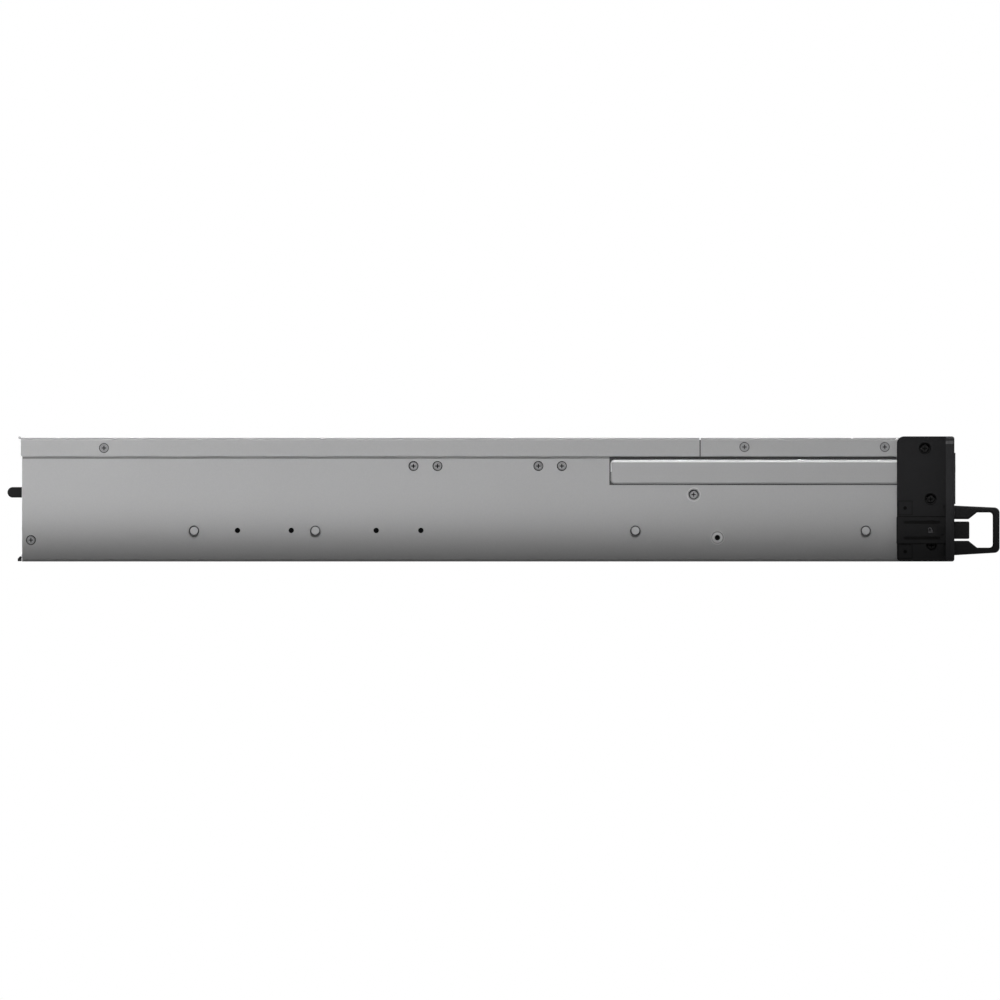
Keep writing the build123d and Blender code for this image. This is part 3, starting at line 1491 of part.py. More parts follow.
# Covers of the empty card places, each with a tab bent forwards at the top
with BuildPart() as slot_covers:
    with BuildSketch(Plane.XZ.offset(-(rear_face - sheet - seat))):
        with Locations(*[(x, card_low + card_height / 2) for x in card_x]):
            Rectangle(card_cover, card_height + 2 * card_lap)
        for x in card_x:
            with Locations((x, card_low + card_height / 2)):
                with GridLocations(1, card_height / (card_slots + 1), 1, card_slots):
                    SlotOverall(
                        card_opening - 2 * card_slot_gap, card_slot_opening, mode=Mode.SUBTRACT
                    )
    extrude(amount=bay_divider)
    with BuildSketch(Plane.XY.offset(card_low + card_height + card_lap)):
        with Locations(*[(x, rear_face - sheet - seat) for x in card_x]):
            Rectangle(card_cover, card_tab, align=(Align.CENTER, Align.MAX))
    extrude(amount=-bay_divider)
write(slot_covers.part, "slot_covers")

# Sockets at the back of the main board, open towards the rear
with BuildPart() as rear_ports:
    socket_back = rear_face - seat
    for x, width, height in rear_sockets:
        with BuildSketch(Plane.XZ.offset(-socket_back)):
            with Locations((x, board_top)):
                Rectangle(width, height, align=(Align.CENTER, Align.MIN))
        extrude(amount=socket_length)
        with BuildSketch(Plane.XZ.offset(-socket_back)):
            with Locations((x, board_top + socket_wall)):
                Rectangle(
                    width - 2 * socket_wall, height - 2 * socket_wall, align=(Align.CENTER, Align.MIN)
                )
        extrude(amount=socket_length - 2 * socket_wall, mode=Mode.SUBTRACT)
write(rear_ports.part, "rear_ports")
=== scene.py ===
import json
import math

import bmesh
import bpy
from mathutils import Matrix, Vector


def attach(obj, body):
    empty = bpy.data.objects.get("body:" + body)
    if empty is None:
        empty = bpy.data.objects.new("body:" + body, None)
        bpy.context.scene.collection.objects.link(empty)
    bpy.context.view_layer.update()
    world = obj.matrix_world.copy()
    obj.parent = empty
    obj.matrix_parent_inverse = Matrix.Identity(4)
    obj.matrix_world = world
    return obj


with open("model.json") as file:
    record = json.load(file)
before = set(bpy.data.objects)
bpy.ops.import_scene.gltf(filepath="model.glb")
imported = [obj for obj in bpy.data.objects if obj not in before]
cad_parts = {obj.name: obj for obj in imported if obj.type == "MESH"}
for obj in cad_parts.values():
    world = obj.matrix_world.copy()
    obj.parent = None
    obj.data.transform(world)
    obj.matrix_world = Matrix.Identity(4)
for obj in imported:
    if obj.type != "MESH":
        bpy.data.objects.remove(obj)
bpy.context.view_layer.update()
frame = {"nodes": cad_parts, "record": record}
nodes = frame["nodes"]
bodyOf = {node: body for body, members in frame["record"]["behaviour"]["bodies"].items()
          for node in members}
print("frame loaded:", len(nodes), "nodes")

# camera and studio, in metres
studio = {
    "framedWidth": 0.7037,
    "centreY": 0.0025,
    "centreZ": 0.0433,
    "distance": 4.0,
    "fill": 0.1,
}
# lamps: place, aim, size, power, spread and how strong each end of the lamp is
lamps = {
    "overhead": ((0.26, 0.1, 1.8), (0.26, 0.1, 0), (0.92, 1.4), 10.7, 110.0, (1.0, 1.0)),
    "sideKey": ((-1.2, 0.02, 0.52), (-0.2175, 0.02, 0.176), (1.3, 0.30), 0.77, 3.4, (1.42, 0.5)),
    "frontSoft": ((0.5, -1.9, 1.5), (0, -0.3, 0.0), (1.6, 0.8), 13.0, 180.0, (1.0, 1.0)),
    "rearSoft": ((0.6, 1.9, 1.5), (0, 0.3, 0.0), (1.6, 0.8), 13.0, 180.0, (1.0, 1.0)),
}


def placeCamera():
    data = bpy.data.cameras.new("sideCamera")
    data.type = "ORTHO"
    data.ortho_scale = studio["framedWidth"]
    data.clip_end = 100.0
    camera = bpy.data.objects.new("sideCamera", data)
    camera.location = (-studio["distance"], studio["centreY"], studio["centreZ"])
    camera.rotation_euler = (math.radians(90), 0, math.radians(-90))
    bpy.context.scene.collection.objects.link(camera)
    bpy.context.scene.camera = camera


def addLamp(name, place, target, size, power, spread, ends):
    data = bpy.data.lights.new(name, "AREA")
    data.shape = "RECTANGLE"
    data.size, data.size_y = size
    data.energy = power
    data.spread = math.radians(spread)
    if ends[0] != ends[1]:
        data.use_nodes = True
        tree = data.node_tree
        along = tree.nodes.new("ShaderNodeNewGeometry").outputs["Parametric"]
        strength = rangeOf(tree, axisOf(tree, along, "X"), 0.0, 1.0, *ends)
        tree.links.new(strength, tree.nodes["Emission"].inputs["Strength"])
    lamp = bpy.data.objects.new(name, data)
    lamp.location = place
    aim = Vector(target) - Vector(place)
    lamp.rotation_euler = aim.to_track_quat("-Z", "Y").to_euler()
    bpy.context.scene.collection.objects.link(lamp)
    return lamp


def seenByCamera(tree):
    # camera, glossy and transmission rays meet the plain white background
    path = tree.nodes.new("ShaderNodeLightPath")
    seen = mathOf(tree, "MAXIMUM", path.outputs["Is Camera Ray"], path.outputs["Is Glossy Ray"])
    return mathOf(tree, "MAXIMUM", seen, path.outputs["Is Transmission Ray"])


def mixShaders(tree, factor, first, second):
    mix = tree.nodes.new("ShaderNodeMixShader")
    tree.links.new(factor, mix.inputs[0])
    tree.links.new(first, mix.inputs[1])
    tree.links.new(second, mix.inputs[2])
    return mix.outputs[0]


def setWorld():
    world = bpy.data.worlds.new("studio")
    world.use_nodes = True
    tree = world.node_tree
    soft = tree.nodes["Background"]
    soft.inputs["Color"].default_value = (1, 1, 1, 1)
    soft.inputs["Strength"].default_value = studio["fill"]
    white = tree.nodes.new("ShaderNodeBackground")
    white.inputs["Color"].default_value = (1, 1, 1, 1)
    white.inputs["Strength"].default_value = 1.0
    mixed = mixShaders(tree, seenByCamera(tree), soft.outputs[0], white.outputs[0])
    tree.links.new(mixed, tree.nodes["World Output"].inputs["Surface"])
    bpy.context.scene.world = world


def makeFloor():
    paper = {"size": 60.0, "below": 0.0003, "colour": 0.2, "lift": 0.85, "shadowEnds": 0.65, "whiteFrom": 1.1}
    bm = bmesh.new()
    bmesh.ops.create_grid(bm, x_segments=1, y_segments=1, size=paper["size"] / 2,
                          matrix=Matrix.Translation((0, 0, -paper["below"])))
    mesh = bpy.data.meshes.new("floor")
    bm.to_mesh(mesh)
    bm.free()
    floor = bpy.data.objects.new("floor", mesh)
    bpy.context.scene.collection.objects.link(floor)
    mat, tree, shader, coords = startMaterial("floorPaper", roughness=0.9, specular=0.0)
    shader.inputs["Base Color"].default_value = (paper["colour"],) * 3 + (1,)
    lift = tree.nodes.new("ShaderNodeEmission")
    lift.inputs["Strength"].default_value = paper["lift"]
    both = tree.nodes.new("ShaderNodeAddShader")
    tree.links.new(shader.outputs[0], both.inputs[0])
    tree.links.new(lift.outputs[0], both.inputs[1])
    white = tree.nodes.new("ShaderNodeEmission")
    length = tree.nodes.new("ShaderNodeVectorMath")
    length.operation = "LENGTH"
    tree.links.new(coords, length.inputs[0])
    away = rangeOf(tree, length.outputs["Value"], paper["shadowEnds"], paper["whiteFrom"])
    seen = mixShaders(tree, away, both.outputs[0], white.outputs[0])
    final = mixShaders(tree, seenByCamera(tree), shader.outputs[0], seen)
    tree.links.new(final, tree.nodes["Material Output"].inputs["Surface"])
    mesh.materials.append(mat)


# materials
def startMaterial(name, roughness=0.5, metallic=0.0, specular=0.5):
    mat = bpy.data.materials.new(name)
    mat.use_nodes = True
    tree = mat.node_tree
    shader = tree.nodes["Principled BSDF"]
    shader.inputs["Roughness"].default_value = roughness
    shader.inputs["Metallic"].default_value = metallic
    shader.inputs["Specular IOR Level"].default_value = specular
    coords = tree.nodes.new("ShaderNodeTexCoord").outputs["Object"]
    return mat, tree, shader, coords


def stretched(tree, coords, scale):
    mapping = tree.nodes.new("ShaderNodeMapping")
    mapping.inputs["Scale"].default_value = scale
    tree.links.new(coords, mapping.inputs["Vector"])
    return mapping.outputs["Vector"]


def noiseOf(tree, coords, scale, detail=3.0):
    noise = tree.nodes.new("ShaderNodeTexNoise")
    noise.inputs["Scale"].default_value = scale
    noise.inputs["Detail"].default_value = detail
    tree.links.new(coords, noise.inputs["Vector"])
    return noise.outputs["Fac"]


def rangeOf(tree, value, low, high, toLow=0.0, toHigh=1.0):
    node = tree.nodes.new("ShaderNodeMapRange")
    for socket, number in (("From Min", low), ("From Max", high), ("To Min", toLow), ("To Max", toHigh)):
        node.inputs[socket].default_value = number
    tree.links.new(value, node.inputs["Value"])
    return node.outputs["Result"]


def mathOf(tree, operation, first, second=None):
    node = tree.nodes.new("ShaderNodeMath")
    node.operation = operation
    for socket, value in zip(node.inputs, (first, second)):
        if isinstance(value, (int, float)):
            socket.default_value = value
        elif value is not None:
            tree.links.new(value, socket)
    return node.outputs[0]


def blendOf(tree, factor, first, second):
    node = tree.nodes.new("ShaderNodeMix")
    node.data_type = "RGBA"
    tree.links.new(factor, node.inputs["Factor"])
    for socket, value in ((node.inputs[6], first), (node.inputs[7], second)):
        if isinstance(value, tuple):
            socket.default_value = (*value, 1)
        else:
            tree.links.new(value, socket)
    return node.outputs[2]


def bumpOf(tree, shader, height, distance, strength=1.0):
    node = tree.nodes.new("ShaderNodeBump")
    node.inputs["Strength"].default_value = strength
    node.inputs["Distance"].default_value = distance
    tree.links.new(height, node.inputs["Height"])
    tree.links.new(node.outputs["Normal"], shader.inputs["Normal"])


def axisOf(tree, coords, axis):
    node = tree.nodes.new("ShaderNodeSeparateXYZ")
    tree.links.new(coords, node.inputs["Vector"])
    return node.outputs[axis]


def coatedColour(tree, coords, light, dark):
    cloud = noiseOf(tree, coords, 9.0, 4.0)
    speck = noiseOf(tree, coords, 900.0, 2.0)
    spread = mathOf(tree, "ADD", mathOf(tree, "MULTIPLY", cloud, 0.5),
                    mathOf(tree, "MULTIPLY", speck, 0.5))
    return blendOf(tree, rangeOf(tree, spread, 0.35, 0.65), dark, light), speck


def coatedSteel(name="coatedSteel"):
    coat = {"light": (0.43, 0.43, 0.432), "dark": (0.405, 0.405, 0.408),
            "seamY": -0.1383, "seamHalf": 0.00039, "seamLow": 0.0739, "seam": (0.03, 0.03, 0.03),
            "footX": 0.21755, "innerX": 0.2172, "channelEnd": -0.0745, "channelZ": 0.0631,
            "channelHalf": 0.0093, "highlightX": 0.2179, "faceX": 0.21985, "edgeHighlight": (0.95, 0.95, 0.95),
            "ridgeZ": (0.0698, 0.0714), "bendX": 0.2160, "bendZ": 0.0858, "bendShade": (0.3, 0.3, 0.302)}
    mat, tree, shader, coords = startMaterial(name, roughness=0.42, specular=0.4)
    colour, speck = coatedColour(tree, coords, coat["light"], coat["dark"])
    y, z = axisOf(tree, coords, "Y"), axisOf(tree, coords, "Z")
    across = mathOf(tree, "ABSOLUTE", axisOf(tree, coords, "X"))
    # painted shadow: a dark line along the seam between the covers
    away = mathOf(tree, "ABSOLUTE", mathOf(tree, "SUBTRACT", y, coat["seamY"]))
    seam = mathOf(tree, "MULTIPLY", mathOf(tree, "LESS_THAN", away, coat["seamHalf"]),
                  mathOf(tree, "GREATER_THAN", z, coat["seamLow"]))
    # the pressed channel: painted highlights on its upper edges and a painted shadow line at its foot
    footShadow = mathOf(tree, "MULTIPLY", mathOf(tree, "LESS_THAN", across, coat["footX"]),
                  mathOf(tree, "GREATER_THAN", across, coat["innerX"]))
    footShadow = mathOf(tree, "MULTIPLY", footShadow, mathOf(tree, "LESS_THAN", y, coat["channelEnd"]))
    level = mathOf(tree, "ABSOLUTE", mathOf(tree, "SUBTRACT", z, coat["channelZ"]))
    footShadow = mathOf(tree, "MULTIPLY", footShadow, mathOf(tree, "LESS_THAN", level, coat["channelHalf"]))
    # painted highlight: the rounded upper edge and rear end of the channel, and a band just below its top, are
    # coloured near white
    edgeHighlight = mathOf(tree, "GREATER_THAN", across, coat["highlightX"])
    edgeHighlight = mathOf(tree, "MULTIPLY", edgeHighlight, mathOf(tree, "LESS_THAN", across, coat["faceX"]))
    edgeHighlight = mathOf(tree, "MULTIPLY", edgeHighlight, mathOf(tree, "GREATER_THAN", z, coat["channelZ"]))
    ridgeHighlight = mathOf(tree, "MULTIPLY", mathOf(tree, "GREATER_THAN", z, coat["ridgeZ"][0]),
                   mathOf(tree, "LESS_THAN", z, coat["ridgeZ"][1]))
    ridgeHighlight = mathOf(tree, "MULTIPLY", ridgeHighlight, mathOf(tree, "GREATER_THAN", across, coat["highlightX"]))
    colour = blendOf(tree, mathOf(tree, "MAXIMUM", edgeHighlight, ridgeHighlight), colour, coat["edgeHighlight"])
    # painted shade: the rounded top edges along both sides are coloured darker
    bendShade = mathOf(tree, "MULTIPLY", mathOf(tree, "GREATER_THAN", across, coat["bendX"]),
                  mathOf(tree, "GREATER_THAN", z, coat["bendZ"]))
    colour = blendOf(tree, bendShade, colour, coat["bendShade"])
    colour = blendOf(tree, mathOf(tree, "MAXIMUM", seam, footShadow), colour, coat["seam"])
    tree.links.new(colour, shader.inputs["Base Color"])
    tree.links.new(rangeOf(tree, speck, 0.3, 0.7, 0.38, 0.46), shader.inputs["Roughness"])
    bumpOf(tree, shader, speck, 0.00004, 0.5)
    return mat


def mouldedPlastic(name, colour, roughness=0.5, specular=0.14):
    mat, tree, shader, coords = startMaterial(name, roughness=roughness, specular=specular)
    grain = noiseOf(tree, coords, 1600.0, 2.0)
    cloud = noiseOf(tree, coords, 30.0, 3.0)
    darker = tuple(c * 0.8 for c in colour)
    tree.links.new(blendOf(tree, rangeOf(tree, cloud, 0.3, 0.7), darker, colour),
                   shader.inputs["Base Color"])
    tree.links.new(rangeOf(tree, grain, 0.3, 0.7, roughness - 0.05, roughness + 0.08),
                   shader.inputs["Roughness"])
    bumpOf(tree, shader, grain, 0.00005, 0.6)
    return mat


def zincSteel(name="zincSteel", colour=(0.45, 0.46, 0.47), roughness=0.46):
    mat, tree, shader, coords = startMaterial(name, roughness=roughness, metallic=1.0)
    spangle = tree.nodes.new("ShaderNodeTexVoronoi")
    spangle.inputs["Scale"].default_value = 160.0
    tree.links.new(coords, spangle.inputs["Vector"])
    shade = tree.nodes.new("ShaderNodeSeparateColor")
    tree.links.new(spangle.outputs["Color"], shade.inputs["Color"])
    darker = tuple(c * 0.88 for c in colour)
    tree.links.new(blendOf(tree, shade.outputs["Red"], darker, colour),
                   shader.inputs["Base Color"])
    tree.links.new(rangeOf(tree, shade.outputs["Green"], 0, 1, roughness - 0.06, roughness + 0.06),
                   shader.inputs["Roughness"])
    bumpOf(tree, shader, noiseOf(tree, coords, 1200.0, 2.0), 0.00002, 0.4)
    return mat


def brushedMetal(name, colour, roughness=0.32, along=(8.0, 900.0, 900.0)):
    mat, tree, shader, coords = startMaterial(name, roughness=roughness, metallic=1.0)
    lines = noiseOf(tree, stretched(tree, coords, along), 1.0, 3.0)
    darker = tuple(c * 0.85 for c in colour)
    tree.links.new(blendOf(tree, rangeOf(tree, lines, 0.3, 0.7), darker, colour),
                   shader.inputs["Base Color"])
    tree.links.new(rangeOf(tree, lines, 0.3, 0.7, roughness - 0.06, roughness + 0.1),
                   shader.inputs["Roughness"])
    bumpOf(tree, shader, lines, 0.00002, 0.5)
    return mat


def studSteel():
    # the flat end of each stud keeps the steel's colour, the shoulder round it is near black as painted shade
    stud = {"radius": 0.00275, "middleZ": 0.0217, "places": (-0.2549, -0.0928, 0.1325, 0.2178),
            "light": (0.36, 0.36, 0.365), "dark": (0.05, 0.05, 0.052)}
    mat, tree, shader, coords = startMaterial("studSteel", roughness=0.5, metallic=0.3)
    near = None
    for place in stud["places"]:
        distance = distanceTo(tree, coords, place, stud["middleZ"])
        near = distance if near is None else mathOf(tree, "MINIMUM", near, distance)
    shoulderShade = mathOf(tree, "GREATER_THAN", near, stud["radius"])
    grain = noiseOf(tree, coords, 700.0, 2.0)
    light = blendOf(tree, rangeOf(tree, grain, 0.3, 0.7), tuple(c * 0.9 for c in stud["light"]),
                    stud["light"])
    tree.links.new(blendOf(tree, shoulderShade, light, stud["dark"]), shader.inputs["Base Color"])
    tree.links.new(rangeOf(tree, grain, 0.3, 0.7, 0.44, 0.6), shader.inputs["Roughness"])
    return mat


def distanceTo(tree, coords, y, z):
    alongY = mathOf(tree, "SUBTRACT", axisOf(tree, coords, "Y"), y)
    alongZ = mathOf(tree, "SUBTRACT", axisOf(tree, coords, "Z"), z)
    both = mathOf(tree, "ADD", mathOf(tree, "MULTIPLY", alongY, alongY),
                  mathOf(tree, "MULTIPLY", alongZ, alongZ))
    return mathOf(tree, "SQRT", both)


def screwSteel():
    # case screws are plated, those in the ears are blackened
    screw = {"earBack": -0.2768, "plated": (0.19, 0.19, 0.193), "black": (0.014, 0.014, 0.014)}
    mat, tree, shader, coords = startMaterial("screwSteel", roughness=0.45, metallic=0.5)
    grain = noiseOf(tree, coords, 900.0, 2.0)
    wearAndHighlight = blendOf(tree, rangeOf(tree, grain, 0.3, 0.7), tuple(c * 0.85 for c in screw["plated"]),
                   screw["plated"])
    inEar = mathOf(tree, "LESS_THAN", axisOf(tree, coords, "Y"), screw["earBack"])
    tree.links.new(blendOf(tree, inEar, wearAndHighlight, screw["black"]), shader.inputs["Base Color"])
    tree.links.new(rangeOf(tree, inEar, 0.0, 1.0, 0.5, 0.0), shader.inputs["Metallic"])
    tree.links.new(rangeOf(tree, inEar, 0.0, 1.0, 0.5, 0.06), shader.inputs["Specular IOR Level"])
    tree.links.new(rangeOf(tree, grain, 0.3, 0.7, 0.4, 0.52), shader.inputs["Roughness"])
    return mat


def earPlastic():
    # the front flange is lighter and carries a painted highlight band near its top, the rest keeps its matt grain
    ear = {"flangeBack": -0.3112, "flange": (0.022, 0.022, 0.0235), "wearAndHighlight": (0.1, 0.1, 0.102),
           "tipHighlightZ": (0.0828, 0.0850), "low": (0.0065, 0.0065, 0.007), "lowZ": (0.025, 0.07)}
    mat = mouldedPlastic("earPlastic", (0.0105, 0.0105, 0.0115), 0.55, 0.1)
    tree = mat.node_tree
    shader = tree.nodes["Principled BSDF"]
    coords = next(n for n in tree.nodes if n.type == "TEX_COORD").outputs["Object"]
    plain = shader.inputs["Base Color"].links[0].from_socket
    height = axisOf(tree, coords, "Z")
    # painted shade: the ear is darker towards the bottom
    plain = blendOf(tree, rangeOf(tree, height, *ear["lowZ"]), ear["low"], plain)
    front = mathOf(tree, "LESS_THAN", axisOf(tree, coords, "Y"), ear["flangeBack"])
    tip = mathOf(tree, "MULTIPLY", mathOf(tree, "GREATER_THAN", height, ear["tipHighlightZ"][0]),
                 mathOf(tree, "LESS_THAN", height, ear["tipHighlightZ"][1]))
    flange = blendOf(tree, tip, ear["flange"], ear["wearAndHighlight"])
    tree.links.new(blendOf(tree, front, plain, flange), shader.inputs["Base Color"])
    return mat


def circuitBoard(name, colour):
    mat, tree, shader, coords = startMaterial(name, roughness=0.3)
    shader.inputs["Coat Weight"].default_value = 0.4
    tracks = tree.nodes.new("ShaderNodeTexBrick")
    tracks.inputs["Scale"].default_value = 1.0
    tracks.inputs["Brick Width"].default_value = 0.009
    tracks.inputs["Row Height"].default_value = 0.0021
    tracks.inputs["Mortar Size"].default_value = 0.00022
    tracks.inputs["Mortar Smooth"].default_value = 0.3
    tree.links.new(coords, tracks.inputs["Vector"])
    lighter = tuple(min(c * 1.7, 1.0) for c in colour)
    tree.links.new(blendOf(tree, tracks.outputs["Fac"], colour, lighter), shader.inputs["Base Color"])
    bumpOf(tree, shader, tracks.outputs["Fac"], 0.00004, 0.5)
    return mat


def clearLens(name, colour):
    mat, tree, shader, coords = startMaterial(name, roughness=0.18)
    shader.inputs["Coat Weight"].default_value = 0.6
    depth = noiseOf(tree, coords, 400.0, 2.0)
    paler = tuple(min(c * 1.25, 1.0) for c in colour)
    tree.links.new(blendOf(tree, depth, colour, paler), shader.inputs["Base Color"])
    tree.links.new(rangeOf(tree, depth, 0.3, 0.7, 0.14, 0.26), shader.inputs["Roughness"])
    return mat


def supplySteel():
    supply = {"rearFace": 0.3390, "black": (0.007, 0.007, 0.0075), "dull": 0.08}
    mat = coatedSteel("supplySteel")
    tree = mat.node_tree
    shader = tree.nodes["Principled BSDF"]
    coords = next(n for n in tree.nodes if n.type == "TEX_COORD").outputs["Object"]
    outside = mathOf(tree, "GREATER_THAN", axisOf(tree, coords, "Y"), supply["rearFace"])
    steel = shader.inputs["Base Color"].links[0].from_socket
    tree.links.new(blendOf(tree, outside, steel, supply["black"]), shader.inputs["Base Color"])
    coat = shader.inputs["Roughness"].links[0].from_socket
    tree.links.new(mathOf(tree, "ADD", coat, mathOf(tree, "MULTIPLY", outside, 0.1)),
                   shader.inputs["Roughness"])
    specular = shader.inputs["Specular IOR Level"]
    tree.links.new(rangeOf(tree, outside, 0.0, 1.0, specular.default_value, supply["dull"]), specular)
    return mat


def driveCase():
    tray = {"bezelAndShadeBack": -0.3036, "pitch": 0.1064, "halfDrive": 0.0509,
            "black": (0.016, 0.016, 0.017), "light": (0.5, 0.5, 0.51), "dark": (0.42, 0.42, 0.43)}
    mat, tree, shader, coords = startMaterial("driveCase", roughness=0.4, metallic=0.9)
    across = mathOf(tree, "ADD", axisOf(tree, coords, "X"), tray["pitch"] * 10)
    offset = mathOf(tree, "ABSOLUTE", mathOf(
        tree, "SUBTRACT", mathOf(tree, "MODULO", across, tray["pitch"]), tray["pitch"] / 2))
    rail = mathOf(tree, "GREATER_THAN", offset, tray["halfDrive"])
    # painted shade: the drives' front faces just behind the bezel are coloured black with it, for the shade in the
    # openings
    bezelAndShade = mathOf(tree, "LESS_THAN", axisOf(tree, coords, "Y"), tray["bezelAndShadeBack"])
    plasticAndShade = mathOf(tree, "MAXIMUM", rail, bezelAndShade)
    cast = noiseOf(tree, coords, 1100.0, 3.0)
    metal = blendOf(tree, rangeOf(tree, cast, 0.3, 0.7), tray["dark"], tray["light"])
    tree.links.new(blendOf(tree, plasticAndShade, metal, tray["black"]), shader.inputs["Base Color"])
    tree.links.new(mathOf(tree, "MULTIPLY", mathOf(tree, "SUBTRACT", 1.0, plasticAndShade), 0.9),
                   shader.inputs["Metallic"])
    tree.links.new(rangeOf(tree, cast, 0.3, 0.7, 0.36, 0.5), shader.inputs["Roughness"])
    bumpOf(tree, shader, cast, 0.00005, 0.5)
    return mat


finishes = {
    "coated_steel": coatedSteel(),
    "inner_steel": zincSteel(),
    "screw_steel": screwSteel(),
    "black_plastic": mouldedPlastic("blackPlastic", (0.011, 0.011, 0.012), 0.55, 0.1),
    "button_plastic": mouldedPlastic("buttonPlastic", (0.05, 0.05, 0.052)),
    "lever_plastic": mouldedPlastic("leverPlastic", (0.022, 0.022, 0.024), 0.42),
    "release_plastic": mouldedPlastic("releasePlastic", (0.012, 0.012, 0.013)),
    "drive_case": driveCase(),
    "circuit_board": circuitBoard("circuitBoard", (0.016, 0.085, 0.045)),
    "module_board": circuitBoard("moduleBoard", (0.015, 0.07, 0.045)),
    "heatsink": brushedMetal("heatsinkAluminium", (0.72, 0.72, 0.73), 0.3),
    "port_metal": brushedMetal("portMetal", (0.6, 0.61, 0.62), 0.3),
}
supplyFinish = supplySteel()
studFinish = studSteel()
earFinish = earPlastic()
handleFinish = mouldedPlastic("handlePlastic", (0.0065, 0.0065, 0.007), 0.5, 0.09)
for part in frame["record"]["subparts"]:
    finish = finishes[part["material_slot"]]
    if part["node"].startswith("power_supply"):
        finish = supplyFinish
    if part["node"] == "rail_studs":
        finish = studFinish
    if part["node"] in ("ear_left", "ear_right"):
        finish = earFinish
    if part["node"].startswith(("handle", "latch")):
        finish = handleFinish
    for slot in nodes[part["node"]].material_slots:
        slot.material = finish
print("finishes made:", len(finishes) + 1)

trims = {
    "shade": mouldedPlastic("shadeBlack", (0.003, 0.003, 0.003), 0.8, 0.04),
    "grooveShade": mouldedPlastic("grooveShadeBlack", (0.007, 0.007, 0.007), 0.75, 0.08),
    "mark": mouldedPlastic("paleMark", (0.11, 0.11, 0.115), 0.6, 0.1),
    "lens": clearLens("lampLens", (0.25, 0.6, 0.35)),
    "lensAmber": clearLens("lampLensAmber", (0.75, 0.4, 0.1)),
    "gold": brushedMetal("contactGold", (0.83, 0.6, 0.25), 0.28),
    "tin": brushedMetal("tinPlate", (0.66, 0.67, 0.68), 0.34),
    "chip": mouldedPlastic("chipResin", (0.022, 0.022, 0.024), 0.45, 0.3),
    "nylon": mouldedPlastic("paleNylon", (0.55, 0.54, 0.5), 0.5, 0.3),
    "nylonDark": mouldedPlastic("darkNylon", (0.03, 0.032, 0.036), 0.5, 0.3),
    "nylonBlue": mouldedPlastic("blueNylon", (0.02, 0.06, 0.2), 0.5, 0.3),
    "can": brushedMetal("capacitorCan", (0.72, 0.72, 0.72), 0.3),
    "rimHighlight": mouldedPlastic("rimHighlight", (0.72, 0.72, 0.72), 0.4, 0.4),
    "stepSoftShade": mouldedPlastic("stepSoftShade", (0.23, 0.23, 0.231), 0.5, 0.3),
    "stepShade": mouldedPlastic("stepShade", (0.055, 0.055, 0.056), 0.6, 0.1),
    "ferrite": mouldedPlastic("ferriteBlock", (0.09, 0.09, 0.095), 0.7, 0.2),
}
print("trims made:", len(trims))


# tools for the small pieces
def addBlock(bm, low, high, rounded=0.0):
    size = [b - a for a, b in zip(low, high)]
    middle = [(a + b) / 2 for a, b in zip(low, high)]
    place = Matrix.Translation(middle) @ Matrix.Diagonal((*size, 1.0))
    made = bmesh.ops.create_cube(bm, size=1.0, matrix=place)
    if rounded:
        edges = list({edge for vert in made["verts"] for edge in vert.link_edges})
        bmesh.ops.bevel(bm, geom=edges, offset=rounded, offset_type="OFFSET", segments=2,
                        profile=0.5, affect="EDGES", material=-1)


def addDisc(bm, centre, axis, radius, depth, steps=24, tip=None):
    turn = Vector((0, 0, 1)).rotation_difference(Vector(axis)).to_matrix().to_4x4()
    bmesh.ops.create_cone(bm, cap_ends=True, segments=steps, radius1=radius,
                          radius2=radius if tip is None else tip, depth=depth,
                          matrix=Matrix.Translation(centre) @ turn)


def addRing(bm, centre, axis, inner, outer, depth, steps=28):
    axis, centre = Vector(axis), Vector(centre)
    side = axis.orthogonal().normalized()
    corners = ((inner, -depth / 2), (outer, -depth / 2), (outer, depth / 2), (inner, depth / 2))
    verts = [bm.verts.new(centre + side * r + axis * h) for r, h in corners]
    edges = [bm.edges.new((verts[i], verts[i - 1])) for i in range(4)]
    bmesh.ops.spin(bm, geom=verts + edges, cent=centre, axis=axis, dvec=(0, 0, 0),
                   angle=math.tau, steps=steps, use_merge=True, use_duplicate=False)


def finishPiece(name, bm, finish, body, smooth=False):
    bmesh.ops.recalc_face_normals(bm, faces=bm.faces)
    mesh = bpy.data.meshes.new(name)
    bm.to_mesh(mesh)
    bm.free()
    for face in mesh.polygons:
        face.use_smooth = smooth
    mesh.materials.append(finish)
    piece = bpy.data.objects.new(name, mesh)
    bpy.context.scene.collection.objects.link(piece)
    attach(piece, body)
    return piece


# screws in the side walls: the gap round each head and the dark cross in it
sideScrews = {
    "wallX": 0.2175, "head": 0.003, "gap": 0.0005, "half": 0.00155, "slot": 0.00038,
    "flat": {"chassis": [(-0.2683, 0.0806), (-0.1695, 0.0806)], "rear_cover": [(0.2812, 0.0799)]},
    "flatDepth": (0.0007, 0.0004),
    "pan": [(-0.0410, 0.0672), (-0.0245, 0.0672), (0.0465, 0.0672), (0.0634, 0.0672),
            (0.3326, 0.0151)],
    "panDepth": (-0.0006, -0.0010), "dimple": (-0.1338, 0.0471), "dimpleSunk": 0.0007,
    "bareDimple": (-0.1505, 0.0168), "rim": 0.0044,
}


def makeScrewShades():
    for body, places in sideScrews["flat"].items():
        shades = bmesh.new()
        for sign in (-1, 1):
            for y, z in places:
                addScrewShade(shades, sign, sideScrews["wallX"], y, z, sideScrews["flatDepth"])
            if body == "chassis":
                for y, z in sideScrews["pan"]:
                    addScrewShade(shades, sign, sideScrews["wallX"], y, z, sideScrews["panDepth"])
                y, z = sideScrews["dimple"]
                addScrewShade(shades, sign, sideScrews["wallX"] - sideScrews["dimpleSunk"], y, z,
                              sideScrews["panDepth"])
        finishPiece("screwShades_" + body, shades, trims["shade"], body)


